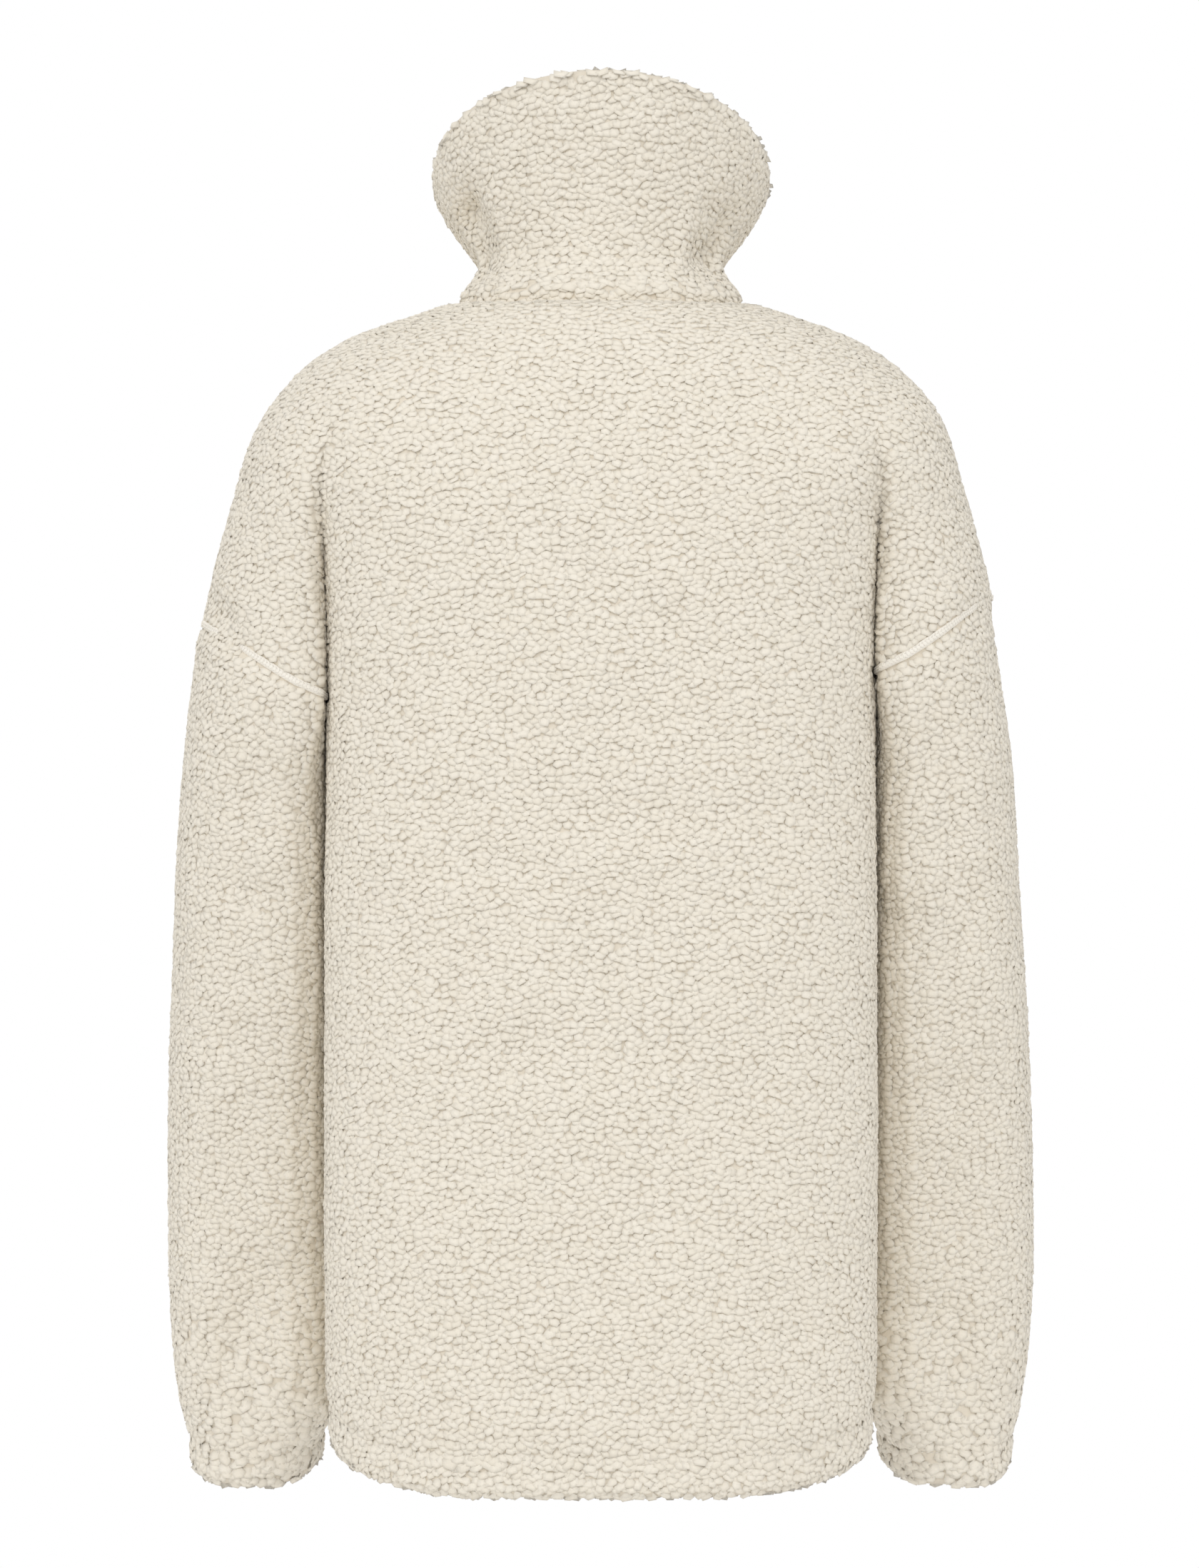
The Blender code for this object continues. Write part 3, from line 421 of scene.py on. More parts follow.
add_faces("collar", collar_ids)

points = np.concatenate(blocks)
pieces = {name: np.concatenate(found) for name, found in pieces.items()}
out = outward_directions(points, np.concatenate(list(pieces.values())))
opened = smooth_step(along(SHOULDER, "fold", yoke_levels) / 0.5)[:, None]
for column, facing in (
    (TORSO_COLUMNS, -1),
    (2 * quarter - TORSO_COLUMNS, 1),
    (2 * quarter + TORSO_COLUMNS, 1),
    (4 * quarter - TORSO_COLUMNS, -1),
):
    ids = yoke_ids[:, column]
    out[ids] = unit(out[ids] * (1 - opened) + np.array([0, facing, 0]) * opened)
print("surface", len(points), "points,", {name: len(faces) for name, faces in pieces.items()})

# %% [markdown]
# ## Folds
# Thick pile cloth never creases sharply. It sinks into soft troughs with a low swell beside them, where
# the body leans over the hips and where the elbow bends. Each one is laid as a bent line on the back or
# the front, and no two are alike. The body has a faint unevenness everywhere as well.

# %% Creases, given one by one
CREASES = table(
    "half x0     z0      x1      z1      x2      z2      half_width depth",
    # Seen on the back: a drag from the left shoulder blade, three faint breaks across the waist, an
    # arch over the hip, and a low swell down the middle.
    (1, 0.036, -0.150, -0.010, -0.172, -0.050, -0.207, 0.012, 0.0020),
    (1, 0.143, -0.297, 0.020, -0.312, -0.140, -0.300, 0.013, 0.0015),
    (1, 0.105, -0.326, 0.060, -0.336, 0.015, -0.331, 0.010, 0.0014),
    (1, 0.085, -0.452, 0.010, -0.420, -0.055, -0.452, 0.013, 0.0020),
    (1, -0.050, -0.448, -0.080, -0.485, -0.092, -0.535, 0.013, 0.0015),
    (1, 0.075, -0.624, 0.020, -0.633, -0.030, -0.627, 0.011, 0.0014),
    (1, 0.016, -0.090, 0.014, -0.350, 0.018, -0.600, 0.030, -0.0016),
    (1, 0.120, -0.560, 0.085, -0.600, 0.040, -0.612, 0.014, 0.0012),
    (1, -0.075, -0.575, -0.110, -0.600, -0.140, -0.645, 0.013, 0.0014),
    # The dents either side of the collar's back, where its front parts turn away, and at the dropped seam.
    (1, 0.0800, 0.066, 0.0770, 0.038, 0.0720, 0.010, 0.0070, 0.0050),
    (1, -0.0690, 0.060, -0.0635, 0.034, -0.0590, 0.010, 0.0070, 0.0045),
    (1, 0.246, -0.160, 0.224, -0.186, 0.203, -0.214, 0.0080, 0.0034),
    (1, -0.246, -0.150, -0.226, -0.176, -0.206, -0.204, 0.0080, 0.0026),
    # The front, which the photograph hides, in the same manner.
    (-1, 0.130, -0.150, 0.095, -0.190, 0.060, -0.250, 0.013, 0.0020),
    (-1, -0.125, -0.165, -0.100, -0.210, -0.050, -0.236, 0.013, 0.0018),
    (-1, 0.145, -0.340, 0.080, -0.352, 0.018, -0.338, 0.012, 0.0016),
    (-1, -0.020, -0.372, -0.080, -0.384, -0.145, -0.366, 0.013, 0.0017),
    (-1, 0.120, -0.470, 0.070, -0.505, 0.022, -0.500, 0.013, 0.0015),
    (-1, -0.030, -0.560, -0.090, -0.540, -0.135, -0.575, 0.014, 0.0016),
    # The left sleeve, then the right one, back and front.
    (1, 0.252, -0.322, 0.215, -0.350, 0.176, -0.360, 0.011, 0.0022),
    (1, 0.246, -0.440, 0.210, -0.430, 0.178, -0.452, 0.012, 0.0018),
    (1, 0.178, -0.560, 0.205, -0.590, 0.228, -0.640, 0.014, 0.0026),
    (1, 0.238, -0.540, 0.214, -0.556, 0.190, -0.600, 0.012, 0.0014),
    (-1, 0.245, -0.380, 0.212, -0.402, 0.176, -0.398, 0.012, 0.0024),
    (-1, 0.250, -0.480, 0.215, -0.470, 0.180, -0.490, 0.012, 0.0020),
    (-1, 0.180, -0.600, 0.210, -0.620, 0.240, -0.615, 0.013, 0.0016),
    (1, -0.168, -0.345, -0.185, -0.360, -0.193, -0.395, 0.010, 0.0026),
    (1, -0.245, -0.300, -0.215, -0.318, -0.185, -0.312, 0.011, 0.0016),
    (1, -0.240, -0.470, -0.210, -0.462, -0.178, -0.480, 0.012, 0.0018),
    (1, -0.176, -0.575, -0.200, -0.600, -0.222, -0.655, 0.014, 0.0024),
    (-1, -0.240, -0.360, -0.208, -0.385, -0.176, -0.378, 0.012, 0.0024),
    (-1, -0.246, -0.505, -0.212, -0.492, -0.180, -0.510, 0.012, 0.0018),
    (-1, -0.182, -0.640, -0.210, -0.628, -0.236, -0.642, 0.012, 0.0014),
)
CREASE_UNEVENNESS = 0.45
END_FADE, LEAST_AT_END = 0.25, 0.2
SWELL, SWELL_AWAY = 0.35, 1.9
UNEVENNESS = 0.0009


def crease_relief(at, facing):
    """How far the creases push each point in (negative) or out, from its place and the way it faces."""
    relief = np.zeros(len(at))
    share = np.linspace(0, 1, 25)[:, None]
    for number in range(len(CREASES["half"])):
        row = {name: column[number] for name, column in CREASES.items()}
        a, b, c = (np.array([row["x" + end], row["z" + end]]) for end in "012")
        line = a * (1 - share) ** 2 + 2 * b * share * (1 - share) + c * share**2
        away = np.linalg.norm(at[:, None, [0, 2]] - line[None], axis=2)
        nearest = away.argmin(axis=1)
        distance, place = away.min(axis=1) / row["half_width"], nearest / (len(share) - 1)
        waver = 1 + CREASE_UNEVENNESS * np.sin(9 * place + 2.1 * number)
        ends = smooth_step(place / END_FADE) * smooth_step((1 - place) / END_FADE)
        ends = ends * (1 - LEAST_AT_END) + LEAST_AT_END
        trough = np.exp(-(distance**2)) - SWELL * np.exp(-((distance - SWELL_AWAY) ** 2))
        on_half = smooth_step(facing[:, 1] * row["half"] / 0.6)
        relief -= row["depth"] * trough * waver * ends * on_half
    return relief


def unevenness(at):
    """A faint rise and fall of the whole cloth, a hand's width across."""
    x, y, z = at.T
    rise = np.sin(41 * x + 17 * z + 0.6) * np.sin(29 * z - 13 * y + 1.1)
    rise += 0.6 * np.sin(83 * x - 31 * y + 2.0) * np.sin(61 * z + 23 * x + 0.3)
    return UNEVENNESS * rise


# %% [markdown]
# ## Seams
# Where two panels join, or a hem is stitched down, the pile sinks: by a millimetre at a side seam, by
# almost five at the neck. The lines are taken from the edges that the panels share, so they follow the cut.


# %% Seam lines and the groove along them
def at_height_above(piece_ids, distance):
    """A line across a panel, a fixed distance along the cloth from its lowest ring."""
    columns = points[piece_ids].swapaxes(0, 1)
    return np.concatenate([read_at([distance], run_along(column), column) for column in columns])


HEM_TURN, CUFF_TURN = 0.020, 0.021
SLEEVE_ARM = 2 * ARM_COLUMNS + 1
armhole_left = points[sleeve_ids["sleeve_left"][0]]
armhole_right = points[sleeve_ids["sleeve_right"][0]]
neck_seam = points[yoke_ids[-1]]
hem_seam = at_height_above(torso_ids, HEM_TURN)
cuff_seam_left = at_height_above(sleeve_ids["sleeve_left"][::-1], CUFF_TURN)
cuff_seam_right = at_height_above(sleeve_ids["sleeve_right"][::-1], CUFF_TURN)
shoulder_left = points[yoke_ids[:, quarter]]
shoulder_right = points[yoke_ids[:, 3 * quarter]]
side_left = points[torso_ids[:, low_quarter]]
side_right = points[torso_ids[:, 3 * low_quarter]]

GROOVES = (
    # line, half width and depth of the trough
    (armhole_left[:SLEEVE_ARM], 0.0042, 0.0014),
    (armhole_right[:SLEEVE_ARM], 0.0042, 0.0014),
    (neck_seam, 0.0036, 0.0046),
    (hem_seam, 0.0038, 0.0038),
    (cuff_seam_left, 0.0045, 0.0020),
    (cuff_seam_right, 0.0045, 0.0020),
    (shoulder_left, 0.0035, 0.0010),
    (shoulder_right, 0.0035, 0.0010),
    (side_left, 0.0035, 0.0008),
    (side_right, 0.0035, 0.0008),
)


def distance_to_line(at, line):
    """Distance from each point to a line of short straight pieces."""
    nearest = np.full(len(at), np.inf)
    for a, b in zip(line[:-1], line[1:]):
        step = b - a
        share = np.clip((at - a) @ step / max(step @ step, 1e-12), 0, 1)
        nearest = np.minimum(nearest, np.linalg.norm(at - a - share[:, None] * step, axis=1))
    return nearest


def groove_relief(at):
    relief = np.zeros(len(at))
    for line, half_width, depth in GROOVES:
        relief = np.minimum(relief, -depth * np.exp(-((distance_to_line(at, line) / half_width) ** 2)))
    return relief


# %% [markdown]
# ## The surface as worn
# The folds, the seams and the faint unevenness add up to one distance for each point, in or out. The
# photograph leaves only a thin line between arm and body, so the arm is filled out there. The sleeve also
# stands a little proud of the shoulder below its seam, which gives the step in the outline.

# %% Move every point in or out
ZIP_FLAT, ZIP_FADE = 0.008, 0.02
ARM_FILL = ((0.66, 0.0200), (-0.66, 0.0110))  # toward the back or the front, and how far out
LEAST_FACING, FACING_RANGE = 0.40, 0.60
FILL_AT_SEAM, FILL_FADE = 0.45, 0.14  # share at the seam, and of the sleeve's length at either end
YOKE_FILL_TOP, YOKE_FILL_FADE = -0.115, 0.09
STEP_OUT = 0.0016

relief = crease_relief(points, out) + unevenness(points) * np.where(np.abs(out[:, 1]) > 0.3, 1.0, 0.3)
relief += groove_relief(points)
# The cloth stays flat beside the zip, where the tape holds it.
beside_zip = smooth_step((np.abs(points[:, 0]) - ZIP_FLAT) / ZIP_FADE)
relief *= np.where(points[:, 1] < -0.05, beside_zip, 1.0)
# Above the seam the fill fades where the fold opens out, and it fades again just above the cuff.
on_yoke = FILL_AT_SEAM * smooth_step((YOKE_FILL_TOP - yoke_levels) / YOKE_FILL_FADE)
for side, ids in ((1, sleeve_ids["sleeve_left"]), (-1, sleeve_ids["sleeve_right"])):
    down = np.linspace(0, 1, len(ids))
    on_arm = FILL_AT_SEAM + (1 - FILL_AT_SEAM) * smooth_step(down / FILL_FADE)
    on_arm *= smooth_step((1.0 - down) / FILL_FADE)
    first = first_arm_column[side] + 1
    yoke_arm = yoke_ids[:, first : first + 2 * ARM_COLUMNS - 1]
    for toward_back, depth in ARM_FILL:
        corner = unit(np.array((-0.75 * side, toward_back, 0.0)))
        for rows, share in ((ids[1:], on_arm[1:]), (yoke_arm, on_yoke)):
            facing = np.clip((out[rows.ravel()] @ corner - LEAST_FACING) / FACING_RANGE, 0, 1) ** 3
            relief[rows.ravel()] += depth * facing * np.repeat(share, rows.shape[1])
    # The step of the sleeve below its seam.
    away = distance_to_line(points[ids.ravel()], points[ids[0]])
    proud = smooth_step((away - 0.002) / 0.005) * smooth_step((0.11 - away) / 0.08)
    relief[ids.ravel()] += STEP_OUT * proud * smooth_step(out[ids.ravel(), 0] * side / 0.5)
form = points
points = form + out * relief[:, None]
print("deepest fold", round(1000 * relief.min(), 1), "mm, highest swell", round(1000 * relief.max(), 1), "mm")

# %% [markdown]
# ## Small helpers
# Colours are picked as sRGB hex, the way they are read off a photograph, and turned to linear light by
# one function. The others add a node with its settings and links, or a few nodes that go together.


# %% Colours and nodes
def linear(hex_colour):
    """A linear RGBA colour from an sRGB hex string."""
    values = [int(hex_colour[i : i + 2], 16) / 255 for i in (0, 2, 4)]
    return tuple(v / 12.92 if v <= 0.04045 else ((v + 0.055) / 1.055) ** 2.4 for v in values) + (1.0,)


def feed(tree, node, inputs):
    """Links or sets a node's inputs, by name or number."""
    for key, value in inputs.items():
        if isinstance(value, bpy.types.NodeSocket):
            tree.links.new(value, node.inputs[key])
        else:
            node.inputs[key].default_value = value


def add(tree, kind, inputs=None, **settings):
    """Adds a node, sets its properties and feeds its inputs."""
    made = tree.nodes.new(kind)
    for name, value in settings.items():
        setattr(made, name, value)
    feed(tree, made, inputs or {})
    return made


def new_material(name):
    made = bpy.data.materials.new(name)
    made.use_nodes = True
    return made, made.node_tree, made.node_tree.nodes["Principled BSDF"]


def noise(tree, scale, detail=2.0, distortion=0.0, place=None):
    """Noise over the coordinates given, or over the object's own in metres."""
    place = place or add(tree, "ShaderNodeTexCoord").outputs["Object"]
    inputs = {"Vector": place, "Scale": scale, "Detail": detail, "Distortion": distortion}
    return add(tree, "ShaderNodeTexNoise", inputs).outputs["Fac"]


def waves(tree, pitch, distortion, direction, detail=2.0):
    """Bands across the cloth's own coordinates, one for each pitch."""
    uv = add(tree, "ShaderNodeUVMap", uv_map="cloth").outputs["UV"]
    inputs = {"Vector": uv, "Scale": math.pi / (20 * pitch), "Distortion": distortion, "Detail": detail}
    return add(tree, "ShaderNodeTexWave", inputs, wave_type="BANDS", bands_direction=direction).outputs["Fac"]


def times(tree, a, b):
    """Two numbers multiplied."""
    return add(tree, "ShaderNodeMath", {0: a, 1: b}, operation="MULTIPLY").outputs[0]


def two_colours(tree, value, low, high):
    """A ramp from one colour to another."""
    ramp = add(tree, "ShaderNodeValToRGB", {"Fac": value})
    ramp.color_ramp.elements[0].color = linear(low)
    ramp.color_ramp.elements[1].color = linear(high)
    return ramp.outputs["Color"]


def bumped(tree, height, strength, distance, **more):
    """The facing that a bump of this height gives, with the distance in metres."""
    inputs = {"Height": height, "Strength": strength, "Distance": distance, **more}
    return add(tree, "ShaderNodeBump", inputs).outputs["Normal"]


# %% [markdown]
# ## Materials
# The pile is polyester fibre about 15 micrometres thick, curled into tufts. Single fibres are too fine
# to show, so the bump draws the small curls, about 1 mm across. A tuft has no hard edge, so its shading
# is blended with that of the cloth under it. Its colour is painted darker and warmer toward its root, as
# painted shade in the creases between tufts, and lighter toward its tip. Each tuft carries a random tone
# of its own, its height from root to tip, and the cloth's facing there.

# %% Pile fleece: curled polyester tufts, cream
pile_fleece, tree, shader = new_material("pile_fleece_polyester")
CURL, CLOTH_SHARE = 0.0011, 0.78
height = add(tree, "ShaderNodeAttribute", attribute_name="tuft_height").outputs["Fac"]
shade = add(tree, "ShaderNodeAttribute", attribute_name="tuft_shade").outputs["Fac"]
# Painted shade: this ramp darkens and warms the colour from a tuft's tip down to its root, where the creases
# lie.
painted_crease_shade = add(tree, "ShaderNodeValToRGB", {"Fac": height})
stops = painted_crease_shade.color_ramp.elements
stops.new(0.45)
for stop, position, colour in zip(stops, (0.05, 0.45, 0.85), ("e9e1d3", "eee8dc", "f2ece0")):
    stop.position, stop.color = position, linear(colour)
own_colour = two_colours(tree, shade, "fbf9f5", "fffefc")
inputs = {"Factor": 1.0, 6: painted_crease_shade.outputs["Color"], 7: own_colour}
tone_and_painted_shade = add(tree, "ShaderNodeMix", inputs, data_type="RGBA", blend_type="MULTIPLY").outputs[2]
# A tuft is a mass of fine hair, so light turns round its edges: its facing is blended with the cloth's own.
facing = add(tree, "ShaderNodeAttribute", attribute_name="root_facing").outputs["Vector"]
facing = add(tree, "ShaderNodeVectorMath", {0: facing, "Scale": CLOTH_SHARE}, operation="SCALE").outputs[0]
own_facing = add(tree, "ShaderNodeNewGeometry").outputs["Normal"]
facing = add(tree, "ShaderNodeVectorMath", {0: facing, 1: own_facing}, operation="ADD").outputs[0]
facing = add(tree, "ShaderNodeVectorMath", {0: facing}, operation="NORMALIZE").outputs[0]
curls = noise(tree, 1 / CURL, distortion=1.2)
feed(tree, shader, {
    "Base Color": tone_and_painted_shade, "Normal": bumped(tree, curls, 0.30, 0.0004, Normal=facing), "Roughness": 0.92,
    "Specular IOR Level": 0.25, "Sheen Weight": 0.35, "Sheen Roughness": 0.55, "Sheen Tint": linear("fff9ee"),
})

# %% Fleece backing: the smooth knitted side, seen inside the neck, the hem and the cuffs
knit_back, tree, shader = new_material("knitted_backing_polyester")
WALE = 0.0016  # rows of loops, drawn a little coarser than the real 0.9 mm so that they show
loops = times(tree, waves(tree, WALE, 0.6, "X", detail=1.0), waves(tree, WALE, 0.9, "Y"))
feed(tree, shader, {
    "Base Color": two_colours(tree, loops, "cdc2ae", "e4dccb"), "Normal": bumped(tree, loops, 0.5, 0.0003),
    "Roughness": 0.9, "Sheen Weight": 0.2,
})

# %% Flatlock tape and thread: brushed cotton-soft polyester, near white
flatlock, tree, shader = new_material("flatlock_seam_polyester")
fuzz = noise(tree, 1400.0)
feed(tree, shader, {
    "Base Color": two_colours(tree, fuzz, "efe8db", "fcf8f0"), "Normal": bumped(tree, fuzz, 0.4, 0.0002),
    "Roughness": 0.85,
})

thread, tree, shader = new_material("sewing_thread_polyester")
twist = noise(tree, 2500.0)
feed(tree, shader, {"Base Color": two_colours(tree, twist, "e6dfd2", "f8f5ee"), "Roughness": 0.55})

# %% Zip: woven polyester tape, extruded nylon coil, brushed nickel
woven_tape, tree, shader = new_material("woven_zip_tape_polyester")
RIB = 0.0011  # the herringbone rib of the tape, drawn at about twice its real pitch
weave = times(tree, waves(tree, RIB, 0.3, "X"), waves(tree, RIB / 2, 0.3, "DIAGONAL"))
feed(tree, shader, {
    "Base Color": two_colours(tree, weave, "c2b8a4", "ded5c4"), "Normal": bumped(tree, weave, 0.6, 0.0002),
    "Roughness": 0.8,
})

nylon, tree, shader = new_material("extruded_nylon_cream")
feed(tree, shader, {
    "Base Color": two_colours(tree, noise(tree, 300.0), "d8cebb", "e6ddcd"), "Roughness": 0.38, "IOR": 1.53,
})

nickel, tree, shader = new_material("brushed_nickel_plate")
place = add(tree, "ShaderNodeTexCoord").outputs["Object"]
stretch = add(tree, "ShaderNodeMapping", {"Vector": place, "Scale": (9000.0, 1200.0, 500.0)})
brushing = noise(tree, 1.0, detail=3.0, place=stretch.outputs["Vector"])
gloss = add(tree, "ShaderNodeMapRange", {"Value": brushing, "To Min": 0.26, "To Max": 0.42})
feed(tree, shader, {
    "Base Color": two_colours(tree, brushing, "b3aea6", "cfcac2"),
    "Normal": bumped(tree, brushing, 0.15, 0.0001),
    "Roughness": gloss.outputs["Result"], "Metallic": 1.0,
})
print("materials", len(bpy.data.materials))

# %% [markdown]
# ## The knitted ground
# The cloth itself is a shell 2.9 mm thick, or 3.8 mm at the doubled collar. It follows the form 2.1 mm
# inside it, which leaves room for the pile. It is closed, with an outer and an inner face and a rim, so
# it shows its thickness at the hem and the cuffs. Faces are marked where pile grows: outside, on the rims
# that no seam joins, up to 22 mm inside the hem and the cuffs, and on both sides of the collar.

# %% Cut the ground pieces
PILE_DEPTH, WALL, COLLAR_WALL = 0.0021, 0.005, 0.008
TURNED_EDGE, SEAM_HALF_GAP = 0.022, 0.0002
UV_RADIUS, EDGE_DRAW_BACK, LEAST_AGREEMENT = 0.15, 0.8, 0.75


def rim_of(faces):
    """The outline of a piece: its edges with a face on one side only, in the direction of that face."""
    edges = np.concatenate([faces[:, [i, (i + 1) % 4]] for i in range(4)])
    _, place, count = np.unique(np.sort(edges, axis=1), axis=0, return_inverse=True, return_counts=True)
    return edges[count[place.ravel()] == 1]


turned_ids = [torso_ids[0]] + [ids[-1] for ids in sleeve_ids.values()]
is_free = np.zeros(len(points), bool)
is_free[np.concatenate(turned_ids + [collar_ids[-1], collar_ids[1:, 0], collar_ids[1:, -1]])] = True
from_edge = np.min([distance_to_line(points, points[ids]) for ids in turned_ids], axis=0)


def link(name, mesh):
    made = bpy.data.objects.new(name, mesh)
    bpy.context.scene.collection.objects.link(made)
    return made


def ground_shell(piece):
    """The closed shell of one panel, with its pile marks and cloth coordinates, and its area."""
    faces = pieces[piece]
    used, local = np.unique(faces, return_inverse=True)
    local = local.reshape(faces.shape)
    at, normal = points[used], out[used]
    if piece.startswith("sleeve"):
        own = outward_directions(at, local)
        normal = np.where(np.sum(own * normal, axis=1, keepdims=True) < LEAST_AGREEMENT, own, normal)
    edges = rim_of(local)
    middle = at[local].mean(axis=1)
    toward = np.zeros_like(at)
    for corner in range(4):
        np.add.at(toward, local[:, corner], middle - at[local[:, corner]])
    rim = np.unique(edges)
    along_normal = np.sum(toward[rim] * normal[rim], axis=1, keepdims=True)
    inward = unit(toward[rim] - normal[rim] * along_normal)
    draw_back = np.where(is_free[used[rim]], PILE_DEPTH * EDGE_DRAW_BACK, SEAM_HALF_GAP)
    at = at.copy()
    at[rim] += inward * draw_back[:, None]
    wall = COLLAR_WALL if piece == "collar" else WALL
    inner_depth = wall - PILE_DEPTH if piece == "collar" else wall
    both = np.concatenate([at - normal * PILE_DEPTH, at - normal * inner_depth])
    count = len(at)
    a, b = edges.T
    sides = np.stack([a, a + count, b + count, b], 1)
    inner = local[:, ::-1] + count
    mesh = bpy.data.meshes.new("cloth_" + piece)
    mesh.from_pydata(both.tolist(), [], np.concatenate([local, inner, sides]).tolist())
    turned = from_edge[used[local]].max(axis=1) < TURNED_EDGE
    free = is_free[used[a]] & is_free[used[b]]
    marks = np.concatenate([np.ones(len(local), bool), turned | (piece == "collar"), free])
    grown = mesh.attributes.new("has_pile", "BOOLEAN", "FACE")
    grown.data.foreach_set("value", marks)
    # The faces with pile carry no tuft height, so they take the ramp's darkest root colour: painted shade
    # where the ground shows between tufts.
    mesh.materials.append(pile_fleece)
    mesh.materials.append(knit_back)
    mesh.polygons.foreach_set("material_index", np.where(marks, 0, 1).astype(np.int32))
    corner_points = both[np.array([loop.vertex_index for loop in mesh.loops])]
    ring_angle = np.arctan2(corner_points[:, 1], corner_points[:, 0])
    uv = mesh.uv_layers.new(name="cloth")
    uv.data.foreach_set("uv", np.stack([ring_angle * UV_RADIUS, corner_points[:, 2]], 1).ravel())
    mesh.shade_smooth()
    # A sewn edge is marked sharp, so that the pile beside it stands straight up from the cloth.
    sewn = edges[~free]
    sewn = {tuple(sorted(pair)) for pair in np.concatenate([sewn, sewn + count]).tolist()}
    sharp = mesh.attributes.new("sharp_edge", "BOOLEAN", "EDGE")
    sharp.data.foreach_set("value", [tuple(sorted(edge.vertices)) in sewn for edge in mesh.edges])
    area = np.linalg.norm(leaning(at, local), axis=1).sum() / 2
    return link("cloth_" + piece, mesh), float(area)


cloth, cloth_area = {}, {}
for piece in pieces:
    cloth[piece], cloth_area[piece] = ground_shell(piece)
    print(piece, "ground", round(cloth_area[piece], 4), "square metres")

# %% [markdown]
# ## The pile
# Sherpa pile looks like cobbles: flattened tufts 4 to 6 mm wide with thin shadows between them. Real
# hair is out of reach here, and a bump alone leaves a flat outline. So each tuft is a low mesh of eleven
# triangles, set on the ground by Geometry Nodes. The points are spread evenly and closer together than a
# tuft is wide, so the tufts overlap like scales and leave only thin creases. Each is turned so that its
# nap hangs down, then tilted, turned and scaled at random, and noise bends its outline. Along the
# stitched edges and toward the cuffs they grow larger and stand wider apart, as in the photograph.


# %% One tuft
def make_tuft(name, root, crown):
    """A low tuft, 1 wide and 1 high. It rises from the ground at its upper end and is rounded below."""
    shape = bmesh.new()
    for x, y in root:
        shape.verts.new((x, y, 0.0))
    for corner in crown:
        shape.verts.new(corner)
    bmesh.ops.convex_hull(shape, input=shape.verts)
    under = [face for face in shape.faces if all(vert.co.z < 0.01 for vert in face.verts)]
    bmesh.ops.delete(shape, geom=under, context="FACES_ONLY")
    bmesh.ops.recalc_face_normals(shape, faces=shape.faces)
    mesh = bpy.data.meshes.new(name)
    shape.to_mesh(mesh)
    shape.free()
    level = mesh.attributes.new("tuft_height", "FLOAT", "POINT")
    level.data.foreach_set("value", [min(1.0, vert.co.z) for vert in mesh.vertices])
    mesh.shade_smooth()
    made = bpy.data.objects.new(name, mesh)
    print(name, "has", sum(len(p.vertices) - 2 for p in mesh.polygons), "triangles")
    return made


tuft_wide = make_tuft(
    "tuft_wide",
    [(0.03, 0.52), (0.38, -0.36), (-0.36, -0.40)],
    [(0.46, 0.06, 0.76), (0.30, -0.44, 0.82), (-0.27, -0.47, 0.84), (-0.47, 0.02, 0.78), (0.0, -0.08, 1.0)],
)


def line_object(name, lines):
    """A mesh of edges only, to measure distances from."""
    verts, edges = [], []
    for line in lines:
        edges += [(len(verts) + i, len(verts) + i + 1) for i in range(len(line) - 1)]
        verts += [tuple(p) for p in line]
    mesh = bpy.data.meshes.new(name)
    mesh.from_pydata(verts, edges, [])
    return bpy.data.objects.new(name, mesh)


# %% Parts of a Geometry Nodes tree
def new_tree(name, **kinds):
    """A tree with a named input of each kind, and one geometry as its output."""
    tree = bpy.data.node_groups.new(name, "GeometryNodeTree")
    for label, kind in kinds.items():
        tree.interface.new_socket(label.replace("_", " "), in_out="INPUT", socket_type="NodeSocket" + kind)
    tree.interface.new_socket("Geometry", in_out="OUTPUT", socket_type="NodeSocketGeometry")
    return tree, add(tree, "NodeGroupInput").outputs


def combined(tree, operation, a, b, kind="ShaderNodeMath"):
    """Two numbers put together by one operation, or two vectors or truths with another kind of node."""
    return add(tree, kind, {0: a, "Scale" if operation == "SCALE" else 1: b}, operation=operation).outputs[0]


def compared(tree, operation, value, limit):
    """Whether a number passes a test against a limit."""
    made = add(tree, "FunctionNodeCompare", {0: value, 1: limit}, data_type="FLOAT", operation=operation)
    return made.outputs[0]


def stored(tree, name, kind):
    """A named attribute of the geometry at hand."""
    return add(tree, "GeometryNodeInputNamedAttribute", {"Name": name}, data_type=kind).outputs["Attribute"]


def stamped(tree, geometry, name, value, kind, domain):
    """The geometry with a named attribute stored on it."""
    inputs = {"Geometry": geometry, "Name": name, "Value": value}
    return add(tree, "GeometryNodeStoreNamedAttribute", inputs, data_type=kind, domain=domain).outputs[0]


def random_value(tree, low, high, seed):
    """A random number for each point, or a random vector between two vectors."""
    vector = isinstance(low, tuple)
    inputs = {0: low, 1: high, "Seed": seed} if vector else {2: low, 3: high, "Seed": seed}
    kind = "FLOAT_VECTOR" if vector else "FLOAT"
    return add(tree, "FunctionNodeRandomValue", inputs, data_type=kind).outputs[0 if vector else 1]


def eased(tree, value, low, high, start):
    """A smooth change from start to 1, while the value goes from low to high."""
    inputs = {"Value": value, "From Min": low, "From Max": high, "To Min": start, "To Max": 1.0}
    return add(tree, "ShaderNodeMapRange", inputs, interpolation_type="SMOOTHSTEP").outputs["Result"]


def distance_to(tree, lines):
    """How far each point is from an object made of lines."""
    drawn = add(tree, "GeometryNodeObjectInfo", {"Object": lines}).outputs["Geometry"]
    return add(tree, "GeometryNodeProximity", {0: drawn}, target_element="EDGES").outputs["Distance"]


